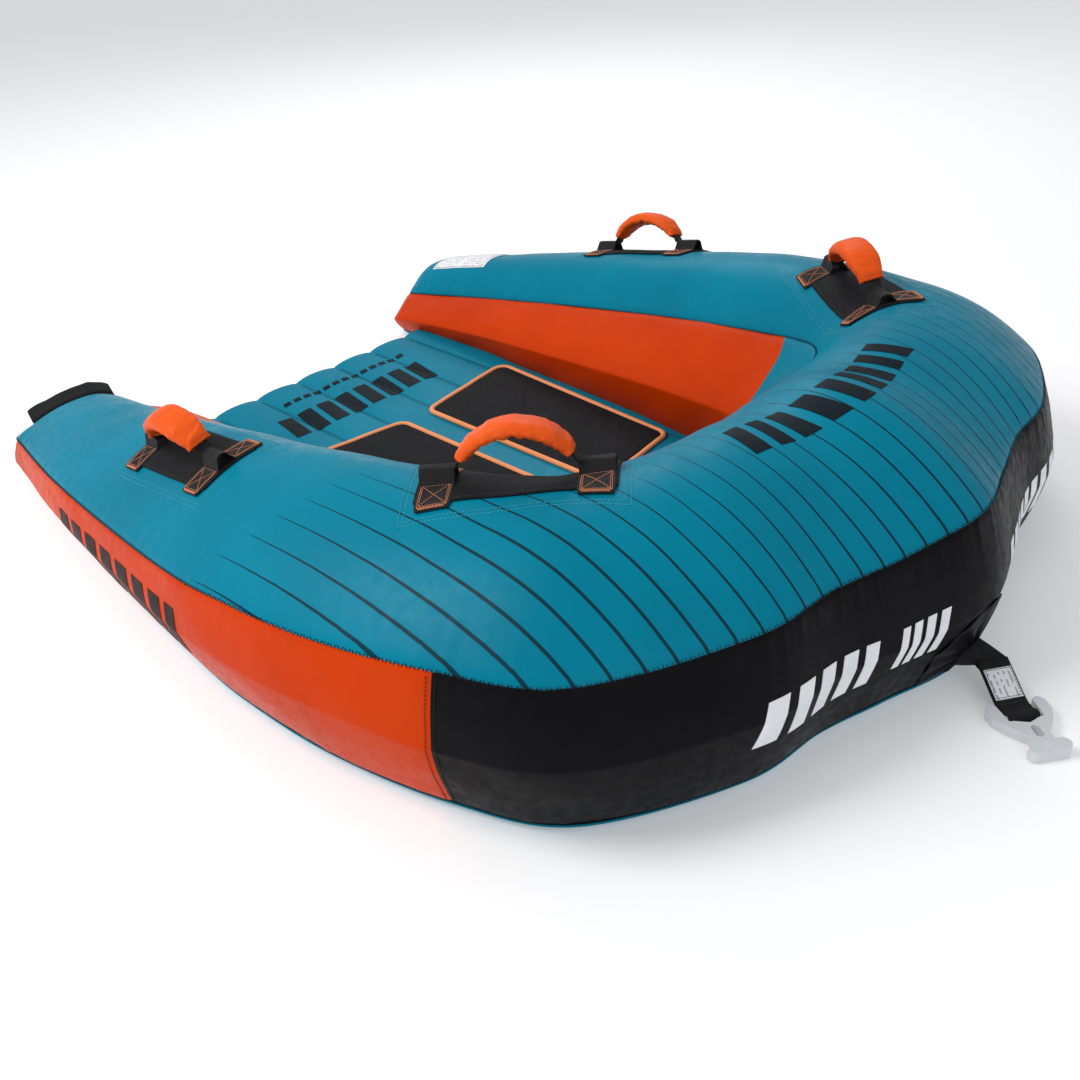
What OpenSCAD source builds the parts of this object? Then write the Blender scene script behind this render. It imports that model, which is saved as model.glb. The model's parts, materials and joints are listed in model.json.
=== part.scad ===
// Towable tube: a U-shaped deck tube in a sewn cover, with an inflatable floor, two seat pads, four
// padded handles and a tow strap that ends in a quick connector. The bow points to -Y, starboard is
// -X, and the origin is on the ground under the middle of the overall box.

/* [Hull] */
// Width over the widest part of the side tubes
hull_w = 1600; // [1500:10:1700]
// Height of the crown at the bow
hull_h = 405; // [380:1:430]
// Thickness of the sewn cover cloth
cloth = 1.2; // [1:0.1:1.6]
// Height of the seam where the side panels meet the base cloth
hem_z = 14; // [12:1:18]

/* [Air bladder] */
// Gap between the outer face of the cover and the bladder
bladder_gap = 7; // [5:0.5:9]
// Wall of the bladder
bladder_wall = 1; // [0.8:0.1:1.4]

/* [Floor] */
// Height of the inflated floor
floor_h = 40; // [34:1:46]
// Thickness of a foam seat pad
pad_h = 9; // [6:0.5:12]
// Half of the gap between the two seat pads
pad_gap = 30; // [24:1:40]
// Width of the piping around a seat pad
piping_w = 11; // [8:1:14]

/* [Handles] */
// Distance between the two webbing tabs of a handle
tab_pitch = 220; // [210:1:230]
// Width of a webbing tab
tab_w = 50; // [44:1:52]
// Length of a webbing tab across the handle
tab_l = 136; // [120:1:140]
// Width of the knuckle pad under a handle
knuckle_w = 112; // [100:1:116]
// Height of the handle's roll axis above the cover
roll_z = 17; // [17:0.5:20]
// Height of the top of the grip above the cover
grip_top = 84; // [76:1:88]
// Width of the padded grip
grip_w = 52; // [46:1:56]
// Thickness of the padded grip
grip_t = 22; // [18:1:24]

/* [Tow strap] */
// Width of the tow webbing
strap_w = 50; // [44:1:50]
// Thickness of the tow webbing
strap_t = 3; // [2:0.5:3]
// How far the strap lies over towards starboard
strap_yaw = 35; // [0:5:35]
// Radius of the connector's cross bar
bar_r = 6; // [5:0.5:6.5]

/* [Hidden] */

teal = [0.00, 0.47, 0.56];
orange = [0.87, 0.28, 0.10];
black = [0.09, 0.10, 0.11];
peach = [0.98, 0.56, 0.33];
white = [0.93, 0.93, 0.93];
pvc = [0.35, 0.38, 0.42];

// One row for each station of the starboard half, from the tail to the middle of the bow:
// crease x and y on the outside, crease x and y on the inside, crown height, height of the outer top
// seam, height of the inner top seam, height of the outer crease.
STATIONS = [
    [610, 980, 350, 900, 100, 85, 85, 40],
    [645, 955, 320, 875, 130, 90, 90, 40],
    [660, 900, 315, 825, 155, 95, 100, 50],
    [715, 650, 315, 610, 205, 130, 135, 75],
    [760, 365, 300, 345, 260, 165, 180, 105],
    [795, 95, 280, 95, 310, 200, 220, 125],
    [800, -60, 265, -25, 335, 220, 240, 135],
    [785, -240, 250, -155, 355, 235, 260, 145],
    [735, -445, 230, -225, 370, 250, 280, 145],
    [650, -610, 200, -250, 380, 255, 290, 150],
    [430, -735, 150, -260, 390, 265, 300, 150],
    [275, -760, 95, -260, 390, 265, 300, 145],
    [155, -795, 50, -260, 385, 265, 305, 140],
    [0, -835, 0, -260, 405, 280, 315, 145]];
bow = len(STATIONS) - 1;
last = 2 * bow;
scale_x = hull_w / 1600;
scale_z = hull_h / 405;

// Where the cover changes from one panel to the next, counted in stations
zip_rear_s = 0;
zip_front_s = 0.5;
bladder_end_s = 2;
bow_panel_s = 8;
inner_bow_s = 7.5;
base_split_s = 8;
floor_start_s = 2.25;

// How far out the three seams lie, as a share of the half width, at the tail and at the bow
OUTER_SEAM = [0.92, 0.875];
INNER_SEAM = [0.49, 0.54];
FOOT_SEAM = [0.81, 0.88];
inner_crease = 0.41;
// Steps along the outline of one section
CREASE_I = 2;
OUTER_I = 4;
INNER_I = 16;
FOOT_I = 20;
OUTLINE_N = 26;

hair = 0.3;
lift = 1.2;
knuckle_t = 2.4;
webbing_t = 2.2;
tunnel_r = 9.5;
bore_r = 6.4;
roll_r = 6;
arch_half = 86;
stub_start = 80;
stub_end = tab_pitch / 2 + 22;

function mix(a, b, f) = a + (b - a) * f;
function unit(v) = v / norm(v);
function bulge(q) = mix(q, sin(90 * q), 0.5);
function swell(q) = mix(q, 1 - cos(90 * q), 0.5);

// ---- The hull surface ----

function station(i) =
    let (r = STATIONS[i <= bow ? i : last - i], side = i <= bow ? -1 : 1)
    [side * scale_x * r[0], r[1], side * scale_x * r[2], r[3],
     scale_z * r[4], scale_z * r[5], scale_z * r[6], scale_z * r[7]];
function spread(i) =
    i < 0 ? 2 * station(0) - station(1)
    : i > last ? 2 * station(last) - station(last - 1) : station(i);
function blend(a, b, c, d, q) =
    (2 * b + (c - a) * q + (2 * a - 5 * b + 4 * c - d) * q * q
     + (3 * b - 3 * c + d - a) * q * q * q) / 2;
// The station values at any place s along the hull, on a smooth curve through the stations
function along(s) =
    let (k = min(floor(s), last - 1))
    blend(spread(k - 1), spread(k), spread(k + 1), spread(k + 2), s - k);
function bow_share(s) = 1 - abs(s - bow) / bow;
function half_w(v) = norm([v[0] - v[2], v[1] - v[3]]) / 2;
function outward(v) = unit([v[0] - v[2], v[1] - v[3]]);
// The level direction square to a section, away from the bow on the starboard side
function rearward(v) = let (d = outward(v)) [d[1], -d[0], 0];
function middle(v) = [v[0] + v[2], v[1] + v[3]] / 2;
function place(v, p) = [each (middle(v) + outward(v) * p[0]), p[1]];

// The closed outline of one section, as [distance outwards, height]: up the outside, over the crown,
// down the inside and back along the ground
function outline(s) =
    let (v = along(s), w = half_w(v), f = bow_share(s),
         fo = mix(OUTER_SEAM[0], OUTER_SEAM[1], f),
         fi = mix(INNER_SEAM[0], INNER_SEAM[1], f),
         ff = mix(FOOT_SEAM[0], FOOT_SEAM[1], f),
         inner_z = inner_crease * v[4])
    [for (q = [0, 0.5, 1]) [w * mix(ff, 1, bulge(q)), mix(hem_z, v[7], q)],
     for (q = [0.5, 1]) [w * mix(1, fo, swell(q)), mix(v[7], v[5], q)],
     for (a = [15:15:180])
         let (u = cos(a), seam_z = u > 0 ? v[5] : v[6])
         [w * u * (u > 0 ? fo : fi), mix(v[4], seam_z, u * u)],
     for (q = [0.5, 1]) [-w * mix(fi, 1, bulge(q)), mix(v[6], inner_z, q)],
     for (q = [0.5, 1]) [-w * mix(1, ff, swell(q)), mix(inner_z, hem_z, q)],
     [14 - w * ff, 3], [40 - w * ff, 0], [0, 0], [w * ff - 40, 0], [w * ff - 14, 3]];
// The same outline moved inwards by d
function inset(pts, d) =
    let (n = len(pts))
    [for (i = [0:n - 1])
        let (t = unit(pts[(i + 1) % n] - pts[(i + n - 1) % n]))
        pts[i] + d * [-t[1], t[0]]];
// A strip of the cover from outline step a to step b, as a closed ring in space
function strip(s, a, b, d0, d1) =
    let (v = along(s), o = outline(s), p = inset(o, d0), q = inset(o, d1))
    [for (i = [a:b]) place(v, p[i % OUTLINE_N]),
     for (i = [b:-1:a]) place(v, q[i % OUTLINE_N])];
// A point of the crown at place s, with u = 1 on the outer seam and -1 on the inner seam
function dome(s, u) =
    let (v = along(s), f = bow_share(s),
         share = u > 0 ? mix(OUTER_SEAM[0], OUTER_SEAM[1], f) : mix(INNER_SEAM[0], INNER_SEAM[1], f))
    place(v, [half_w(v) * u * share, mix(v[4], u > 0 ? v[5] : v[6], u * u)]);
function dome_normal(s, u) =
    let (e = 0.02,
         n = unit(cross(dome(s + e, u) - dome(s - e, u), dome(s, u + e) - dome(s, u - e))))
    n[2] > 0 ? n : -n;
// The places of the section rings between two stations
function steps(a, b) = [for (s = [a:0.5:b]) s];

// ---- Solids from rings ----

// The side faces of a chain of rings. From step turn_i, and before ring turn_j, the other diagonal is
// used, so that the two skins of a wall stay parallel.
function side_faces(n, m, wrap, turn_i, turn_j) =
    [for (j = [0:(wrap ? n - 1 : n - 2)]) for (i = [0:m - 1])
        let (a = j * m + i, b = j * m + (i + 1) % m,
             c = ((j + 1) % n) * m + (i + 1) % m, d = ((j + 1) % n) * m + i)
        each i >= turn_i || j < turn_j ? [[a, b, d], [b, c, d]] : [[a, b, c], [a, c, d]]];
function band_cap(m, at, flip) =
    [for (i = [0:m / 2 - 2])
        let (a = at + i, b = at + i + 1, c = at + m - 2 - i, d = at + m - 1 - i)
        each flip ? [[d, c, b], [d, b, a]] : [[a, b, c], [a, c, d]]];
function fan_cap(m, at, flip) =
    [for (i = [1:m - 2]) flip ? [at + i + 1, at + i, at] : [at, at + i, at + i + 1]];
function flat_list(rings) = [for (r = rings) each r];

// A strip of cloth swept along rings that are thin bands
module band(rings) {
    m = len(rings[0]);
    polyhedron(flat_list(rings),
               [each side_faces(len(rings), m, false, m / 2, 0), each band_cap(m, 0, true),
                each band_cap(m, (len(rings) - 1) * m, false)], convexity = 8);
}
// A solid swept along convex rings
module body_of(rings, inner_count = 0) {
    m = len(rings[0]);
    polyhedron(flat_list(rings),
               [each side_faces(len(rings), m, false, m, inner_count), each fan_cap(m, 0, true),
                each fan_cap(m, (len(rings) - 1) * m, false)], convexity = 8);
}
// A hollow solid whose rings run along the inside and back along the outside
module hollow_of(inside, outside) {
    m = len(inside[0]);
    polyhedron(flat_list([each inside, each outside]),
               side_faces(2 * len(inside), m, true, m, len(inside)), convexity = 8);
}
// A thin sheet over a grid of points, from height a to height b above them
module sheet(grid, a, b) {
    band([for (line = grid) [for (p = line) p + [0, 0, b],
                             for (i = [len(line) - 1:-1:0]) line[i] + [0, 0, a]]]);
}

module panel(from, to, first, second) {
    band([for (s = steps(from, to)) strip(s, first, second, 0, cloth)]);
}

// ---- Air bladders and valves ----

function bladder_ring(s, d) =
    let (v = along(s), p = inset(outline(s), d))
    [for (i = [0:2:FOOT_I]) place(v, p[i]), for (i = [FOOT_I + 2:OUTLINE_N - 2]) place(v, p[i])];
valve_v = along(bladder_end_s);
valve_z = 66;
valve_out = 10;
valve_at = place(valve_v, [valve_out, valve_z]);
valve_hole_r = 26;
valve_neck_r = 18;
valve_neck_h = 16;
function valve_ring(d) =
    let (s = bladder_end_s + d, centre = place(along(s), [valve_out, valve_z]))
    [for (p = bladder_ring(s, bladder_gap)) centre + unit(p - centre) * valve_hole_r];
module turn_to(at, z_axis, x_axis) {
    y_axis = cross(z_axis, x_axis);
    multmatrix([for (i = [0:2]) [x_axis[i], y_axis[i], z_axis[i], at[i]]]) children();
}
module at_valve() { turn_to(valve_at, rearward(valve_v), [0, 0, 1]) children(); }

module main_bladder() {
    wall_s = 0.006;
    places = steps(bladder_end_s, last - bladder_end_s);
    count = len(places) - 1;
    inside = [for (j = [count:-1:0])
        bladder_ring(j == 0 ? places[0] + wall_s : j == count ? places[j] - wall_s : places[j],
                     bladder_gap + bladder_wall)];
    outside = [for (s = places) bladder_ring(s, bladder_gap)];
    color(pvc) body_of([each inside, valve_ring(wall_s), valve_ring(0), each outside], count);
}
module valve_base() {
    color(black) at_valve() difference() {
        union() {
            translate([0, 0, hair]) cylinder(h = 2.5, r = 34, $fn = 64);
            translate([0, 0, -6]) cylinder(h = 6 + valve_neck_h, r = valve_neck_r, $fn = 64);
        }
        translate([0, 0, -7]) cylinder(h = valve_neck_h + 8, r = 13, $fn = 64);
    }
}
module valve_diaphragm() {
    color(black) at_valve() translate([0, 0, 2]) difference() {
        cylinder(h = 3, r = 13, $fn = 64);
        for (a = [0:60:300]) rotate(a) translate([8, 0, -1]) cylinder(h = 5, r = 2.5, $fn = 24);
    }
}
module valve_cap() {
    color(black) at_valve() translate([0, 0, 4]) difference() {
        union() {
            cylinder(h = 15.5, r = 23, $fn = 64);
            translate([-16, -2, 15.5]) cube([32, 4, 4]);
        }
        translate([0, 0, -1]) cylinder(h = 13.5, r = valve_neck_r + 0.4, $fn = 64);
    }
}

// The floor lies under the inner creases of the tube, so its edge follows the wall at its own height
function floor_reach(s) =
    let (v = along(s), w = half_w(v), foot = mix(FOOT_SEAM[0], FOOT_SEAM[1], bow_share(s)),
         z = inner_crease * v[4], q = (z - floor_h - 2) / (z - hem_z))
    w * (1 - foot) * swell(q) - 2;
function floor_edge(d) =
    [for (s = [floor_start_s:0.5:last - floor_start_s + 0.01])
        let (v = along(s)) [v[2], v[3]] + outward(v) * (floor_reach(s) - d)
            + [0, s < 3 || s > last - 3 ? -d : 0]];
module floor_slab(z0, z1, d) {
    translate([0, 0, z0]) linear_extrude(z1 - z0) polygon(floor_edge(d));
}
floor_end_y = floor_edge(cloth + hair)[0][1];
floor_valve_x = 150;
floor_valve_z = floor_h / 2;
module at_floor_valve() {
    translate([floor_valve_x, floor_end_y, floor_valve_z]) rotate([-90, 0, 0]) children();
}

module floor_bladder() {
    wall = bladder_wall;
    color(pvc) difference() {
        floor_slab(cloth + hair, floor_h - cloth - hair, cloth + hair);
        floor_slab(cloth + hair + wall, floor_h - cloth - hair - wall, cloth + hair + wall);
        at_floor_valve() translate([0, 0, -4]) cylinder(h = 8, r = 8.3, $fn = 48);
    }
}
module floor_valve_base() {
    color(black) at_floor_valve() difference() {
        union() {
            translate([0, 0, hair]) cylinder(h = 2, r = 15, $fn = 48);
            translate([0, 0, -3]) cylinder(h = 12, r = 8, $fn = 48);
        }
        translate([0, 0, -4]) cylinder(h = 14, r = 5, $fn = 48);
    }
}
module floor_valve_cap() {
    color(black) at_floor_valve() translate([0, 0, 3]) difference() {
        cylinder(h = 8, r = 11, $fn = 48);
        translate([0, 0, -1]) cylinder(h = 7.3, r = 8.4, $fn = 48);
    }
}
module floor_top_panel() { color(teal) floor_slab(floor_h - cloth, floor_h, 0); }
module floor_bottom_panel() { color(teal) floor_slab(0, cloth, 0); }
module floor_edge_band() {
    color(teal) difference() {
        floor_slab(cloth, floor_h - cloth, 0);
        floor_slab(0, floor_h, cloth);
        at_floor_valve() translate([0, 0, -4]) cylinder(h = 12, r = 15.6, $fn = 48);
    }
}

// ---- Sewn cover ----

module top_cover() {
    color(teal) band([for (s = steps(zip_front_s, last)) strip(s, OUTER_I, INNER_I, 0, cloth)]);
}
module side_panel_starboard() { color(orange) panel(0, bow_panel_s, 0, OUTER_I); }
module side_panel_port() { color(orange) panel(last - bow_panel_s, last, 0, OUTER_I); }
module bow_panel() { color(black) panel(bow_panel_s, last - bow_panel_s, 0, OUTER_I); }
module inner_panel_starboard() { color(orange) panel(0, inner_bow_s, INNER_I, FOOT_I); }
module inner_panel_port() { color(orange) panel(last - inner_bow_s, last, INNER_I, FOOT_I); }
module inner_bow_panel() { color(teal) panel(inner_bow_s, last - inner_bow_s, INNER_I, FOOT_I); }
module base_panel_starboard() { color(teal) panel(0, base_split_s, FOOT_I, OUTLINE_N); }
module base_panel_port() { color(teal) panel(last - base_split_s, last, FOOT_I, OUTLINE_N); }
module base_panel_bow() { color(teal) panel(base_split_s, last - base_split_s, FOOT_I, OUTLINE_N); }

// The upright cloth that closes a tail, just inside the edges of the other panels
module tail_panel(s) {
    v = along(s);
    end = [for (p = inset(outline(s), cloth + 0.05)) place(v, p)];
    front = [for (p = end) p - [0, cloth, 0]];
    body_of(s == 0 ? [end, front] : [front, end]);
}
module tail_panel_starboard() { color(orange) tail_panel(0); }
module tail_panel_port() { color(orange) tail_panel(last); }

// The zip crosses the starboard tail, and its coil runs between two tapes
COIL = [0.42, 0.58];
function zip_strip(f, d) =
    mix(strip(zip_rear_s, OUTER_I, INNER_I, -d, cloth), strip(zip_front_s, OUTER_I, INNER_I, -d, cloth), f);
module zip_tapes() {
    color(black) for (e = [[0, COIL[0]], [COIL[1], 1]]) band([for (f = e) zip_strip(f, 0)]);
}
module zip_coil() { color(black) band([for (f = COIL) zip_strip(f, 0.8)]); }
// The slider follows the arc of the outboard half of the zip
zip_v = along((zip_rear_s + zip_front_s) / 2);
zip_reach = half_w(zip_v) * OUTER_SEAM[0];
zip_arc_r = zip_reach * zip_reach / (2 * (zip_v[4] - zip_v[5]));
zip_centre = place(zip_v, [0, zip_v[4] - zip_arc_r]);
zip_park = 3;
zip_lift = 6.5;
module zip_slider() {
    rear = rearward(zip_v);
    color(black) turn_to(zip_centre, rear, cross([0, 0, 1], rear))
        rotate(90 - zip_park) translate([zip_arc_r + zip_lift, 0, 0]) {
            translate([0, -6, -4.5]) cube([3, 12, 9]);
            translate([3, -4, -3]) cube([1.2, 26, 6]);
        }
}

// ---- Valve flap ----

// The sewn front edge runs from the outboard end to the inboard end, as place s and share u
FLAP_ENDS = [[0.45, 0.8], [1.4, -0.62]];
flap_l = 45;
flap_t = 4;
flap_lift = 9;
flap_rise = 4;
flap_rear = rearward(along(1));
flap_front = [for (k = [0:0.1:1]) let (e = mix(FLAP_ENDS[0], FLAP_ENDS[1], k))
    dome(e[0], e[1]) + [0, 0, flap_lift]];
flap_back = [for (p = flap_front) p + flap_l * flap_rear + [0, 0, flap_rise]];
module valve_flap() { color(black) sheet([flap_back, flap_front], 0, flap_t); }

// ---- Care label on the port tail ----

module care_label() {
    grid = [for (s = [2.75:-0.2:1.9]) [for (u = [0.34:-0.185:-0.41]) dome(last - s, u)]];
    color(white) sheet(grid, lift, lift + 0.6);
}

// ---- Seat pads ----

PAD_CORNERS = [[pad_gap + 30, 410], [272, 442], [240, -17], [pad_gap + 30, -39]];
module pad_outline(d) {
    hull() for (c = PAD_CORNERS) translate(c) circle(r = 30 - d, $fn = 32);
}
module on_side(side) {
    if (side < 0) mirror([1, 0, 0]) children();
    else children();
}
module seat_pad(side) {
    on_side(side) translate([0, 0, floor_h]) linear_extrude(pad_h) pad_outline(piping_w);
}
module seat_piping(side) {
    on_side(side) translate([0, 0, floor_h]) linear_extrude(pad_h + 1) difference() {
        pad_outline(0);
        pad_outline(piping_w);
    }
}
module seat_pad_starboard() { color(black) seat_pad(-1); }
module seat_pad_port() { color(black) seat_pad(1); }
module seat_piping_starboard() { color(peach) seat_piping(-1); }
module seat_piping_port() { color(peach) seat_piping(1); }

// ---- Handles ----

// Where the two tabs of a starboard handle sit on the crown: place s and share u of each
REAR_TABS = [[3.89, 0.3], [4.68, 0.3]];
FRONT_TABS = [[7.33, -0.01], [9.2, -0.27]];

// A frame for a handle: its middle, the way along it, the way across it, and up from the cover
function handle_frame(tabs) =
    let (a = dome(tabs[0][0], tabs[0][1]), b = dome(tabs[1][0], tabs[1][1]), x = unit(b - a),
         up = dome_normal(tabs[0][0], tabs[0][1]) + dome_normal(tabs[1][0], tabs[1][1]),
         z = unit(up - x * (up * x)))
    [(a + b) / 2, x, cross(z, x), z];
function to_frame(h, p) = [for (k = [1:3]) (p - h[0]) * h[k]];
// The place on the crown that lies under the point x, y of a handle's frame
function under(h, x, y, su, tries) =
    tries == 0 ? su :
    let (e = 0.01, p = to_frame(h, dome(su[0], su[1])),
         ds = (to_frame(h, dome(su[0] + e, su[1])) - p) / e,
         du = (to_frame(h, dome(su[0], su[1] + e)) - p) / e,
         miss = [x - p[0], y - p[1]], det = ds[0] * du[1] - ds[1] * du[0])
    under(h, x, y, su + [miss[0] * du[1] - miss[1] * du[0], miss[1] * ds[0] - miss[0] * ds[1]] / det,
          tries - 1);
function cover_z(h, tabs, x, y) =
    let (su = under(h, x, y, (tabs[0] + tabs[1]) / 2, 5)) to_frame(h, dome(su[0], su[1]))[2];
function cover_grid(h, tabs, xs, ys) = [for (x = xs) [for (y = ys) [x, y, cover_z(h, tabs, x, y)]]];

module in_frame(h) {
    multmatrix([for (i = [0:2]) [h[1][i], h[2][i], h[3][i], h[0][i]]]) children();
}
module knuckle_pad(tabs) {
    h = handle_frame(tabs);
    half_l = tab_pitch / 2 + tab_w / 2 + 4;
    xs = [for (k = [-6:6]) k * half_l / 6];
    ys = [for (k = [-4:4]) k * knuckle_w / 8];
    in_frame(h) sheet(cover_grid(h, tabs, xs, ys), lift, lift + knuckle_t);
}
module tab_pair(tabs) {
    h = handle_frame(tabs);
    base = lift + knuckle_t + 2 * hair;
    wing = tab_l / 2 - tunnel_r + 1.5;
    in_frame(h) for (side = [-1, 1]) {
        xs = [for (k = [-2:2]) side * tab_pitch / 2 + k * tab_w / 4];
        for (y0 = [-tab_l / 2, tab_l / 2 - wing])
            sheet(cover_grid(h, tabs, xs, [for (k = [0:5]) y0 + k * wing / 5]), base, base + webbing_t);
        translate([side * tab_pitch / 2 - tab_w / 2 + 2, 0, roll_z]) rotate([0, 90, 0])
            difference() {
                cylinder(h = tab_w - 4, r = tunnel_r, $fn = 48);
                translate([0, 0, -1]) cylinder(h = tab_w, r = bore_r, $fn = 48);
            }
    }
}

// The grip follows an arc over the handle, from one roll to the other
grip_rise = grip_top - grip_t / 2 - roll_z;
arc_r = (arch_half * arch_half + grip_rise * grip_rise) / (2 * grip_rise);
arc_z = roll_z + grip_rise - arc_r;
arc_end = asin(arch_half / arc_r);
grip_end = arc_end - 16;
function arc_ring(a, pts) =
    [for (p = pts) [(arc_r + p[0]) * sin(a), p[1], arc_z + (arc_r + p[0]) * cos(a)]];
function rounded(t, w) =
    [for (k = [0:11]) let (a = 30 * k) [t * sign(cos(a)) * sqrt(abs(cos(a))),
                                        w * sign(sin(a)) * sqrt(abs(sin(a)))]];
function flat_ring(t, w) = [[t, -w], [t, w], [-t, w], [-t, -w]];
function ends(a, limit) = 1 - 0.35 * pow(abs(a) / limit, 4);
grip_angles = [for (k = [-5:5]) k * grip_end / 5];
sleeve_t = 1.2;
core_w = 19;
module grip_sleeve() {
    t = grip_t / 2;
    w = grip_w / 2;
    outside = [for (a = grip_angles) let (e = ends(a, grip_end)) arc_ring(a, rounded(t * e, w * e))];
    inside = [for (k = [len(grip_angles) - 1:-1:0])
        let (a = grip_angles[k], e = ends(a, grip_end))
        arc_ring(a, rounded(t * e - sleeve_t, w * e - sleeve_t))];
    hollow_of(inside, outside);
}
module grip_foam() {
    t = grip_t / 2 - sleeve_t - hair;
    w = grip_w / 2 - sleeve_t - hair;
    slot_t = webbing_t / 2 + hair;
    outside = [for (a = grip_angles) let (e = ends(a, grip_end))
        arc_ring(a, rounded(t * e - 0.4, w * e - 0.4))];
    inside = [for (k = [len(grip_angles) - 1:-1:0])
        let (a = grip_angles[k]) arc_ring(a, rounded(slot_t + 1, core_w * ends(a, grip_end) - 3))];
    hollow_of(inside, outside);
}
module grip_webbing() {
    // The webbing narrows to its rolled ends, which turn in the tunnels of the tabs
    angles = [for (k = [-7:7]) k * arc_end / 7];
    width = core_w - 6.5;
    body_of([for (a = angles)
        arc_ring(a, flat_ring(webbing_t / 2, abs(a) > grip_end + 5 ? roll_r - 1 : width * ends(a, grip_end)))]);
    for (side = [-1, 1]) translate([side > 0 ? stub_start : -stub_end, 0, roll_z])
        rotate([0, 90, 0]) cylinder(h = stub_end - stub_start, r = roll_r, $fn = 48);
}
module rolled(tabs) { in_frame(handle_frame(tabs)) children(); }

module knuckle_pad_front_starboard() { color(black) knuckle_pad(FRONT_TABS); }
module knuckle_pad_front_port() { color(black) mirror([1, 0, 0]) knuckle_pad(FRONT_TABS); }
module knuckle_pad_rear_starboard() { color(black) knuckle_pad(REAR_TABS); }
module knuckle_pad_rear_port() { color(black) mirror([1, 0, 0]) knuckle_pad(REAR_TABS); }
module tabs_front_starboard() { color(black) tab_pair(FRONT_TABS); }
module tabs_front_port() { color(black) mirror([1, 0, 0]) tab_pair(FRONT_TABS); }
module tabs_rear_starboard() { color(black) tab_pair(REAR_TABS); }
module tabs_rear_port() { color(black) mirror([1, 0, 0]) tab_pair(REAR_TABS); }
module webbing_front_starboard() { color(black) rolled(FRONT_TABS) grip_webbing(); }
module webbing_front_port() { color(black) mirror([1, 0, 0]) rolled(FRONT_TABS) grip_webbing(); }
module webbing_rear_starboard() { color(black) rolled(REAR_TABS) grip_webbing(); }
module webbing_rear_port() { color(black) mirror([1, 0, 0]) rolled(REAR_TABS) grip_webbing(); }
module foam_front_starboard() { color(white) rolled(FRONT_TABS) grip_foam(); }
module foam_front_port() { color(white) mirror([1, 0, 0]) rolled(FRONT_TABS) grip_foam(); }
module foam_rear_starboard() { color(white) rolled(REAR_TABS) grip_foam(); }
module foam_rear_port() { color(white) mirror([1, 0, 0]) rolled(REAR_TABS) grip_foam(); }
module sleeve_front_starboard() { color(orange) rolled(FRONT_TABS) grip_sleeve(); }
module sleeve_front_port() { color(orange) mirror([1, 0, 0]) rolled(FRONT_TABS) grip_sleeve(); }
module sleeve_rear_starboard() { color(orange) rolled(REAR_TABS) grip_sleeve(); }
module sleeve_rear_port() { color(orange) mirror([1, 0, 0]) rolled(REAR_TABS) grip_sleeve(); }

// ---- Tow strap and connector ----

// Where the strap's root turns, in front of the bow
tow_y = -850;
tow_z = 40;
root_r = 5;
wrap_r = bar_r + 0.5;
bar_z = 10;
// The strap slopes down over this length on plan, then lies flat
ramp_run = 62;
// The connector, measured forward from its bar
knob_f = 70;
knob_out = 20;
knob_r = 11;
tip_y = -max([for (p = flap_back) p[1]]);
bar_y = tip_y + knob_f * cos(strap_yaw) + knob_out * sin(strap_yaw) + knob_r;
strap_run = (tow_y - bar_y) / cos(strap_yaw);
forward = [-sin(strap_yaw), -cos(strap_yaw), 0];
strap_side = [-cos(strap_yaw), sin(strap_yaw), 0];

// The side view of the strap has X forward and Y up
module in_side_view() {
    turn_to([0, tow_y, 0] - strap_side * strap_w / 2, strap_side, forward) children();
}
module tow_strap() {
    flat_z = bar_z - strap_t;
    top_z = bar_z + strap_t;
    color(black) in_side_view() linear_extrude(strap_w) {
        difference() {
            union() {
                translate([0, tow_z]) circle(r = root_r, $fn = 48);
                polygon([[0, tow_z - strap_t], [ramp_run, flat_z], [strap_run - 2, flat_z],
                         [strap_run - 2, top_z], [ramp_run, top_z], [0, tow_z + strap_t]]);
                translate([strap_run, bar_z]) circle(r = wrap_r + strap_t, $fn = 64);
            }
            translate([strap_run, bar_z]) circle(r = wrap_r, $fn = 64);
        }
    }
}
module tow_label() {
    a = [0, tow_z + strap_t];
    b = [ramp_run, bar_z + strap_t];
    up = unit([a[1] - b[1], b[0] - a[0]]) * 0.7;
    near = mix(a, b, 0.28);
    far = mix(a, b, 0.96);
    color(white) in_side_view() translate([0, 0, 2]) linear_extrude(strap_w - 4)
        polygon([near, far, far + up, near + up]);
}
module tow_patch() {
    places = [for (k = [-4:4]) bow + k * 0.14];
    color(black) band([for (s = places) strip(s, 0, CREASE_I, -lift - 2, -lift)]);
}
module tow_anchor() {
    back_y = -815;
    half = strap_w / 2;
    root = [0, tow_y];
    side = [strap_side[0], strap_side[1]];
    behind = [-forward[0], -forward[1]] * (root_r - 1);
    color(black) difference() {
        translate([0, 0, tow_z - 9]) linear_extrude(18)
            polygon([[half, back_y], root - side * half + behind, root + side * half + behind,
                     [-half, back_y]]);
        turn_to([0, tow_y, tow_z] - strap_side * strap_w, strap_side, forward)
            cylinder(h = 2 * strap_w, r = root_r + 0.5, $fn = 48);
        turn_to([0, tow_y, tow_z] - strap_side * strap_w, strap_side, forward)
            translate([-4, -20, -1]) cube([60, 40, 2 * strap_w + 2]);
    }
}
module connector_outline() {
    offset(r = 5) offset(delta = -5) polygon([
        [-26, 29], [-28, 40], [-18, 46], [0, 46], [22, 34], [44, 16], [knob_f, 13],
        [knob_f, -13], [44, -16], [22, -34], [0, -46], [-18, -46], [-28, -40], [-26, -29],
        [11, -27], [12, -20], [20, 0], [12, 20], [11, 27]]);
}
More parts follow.
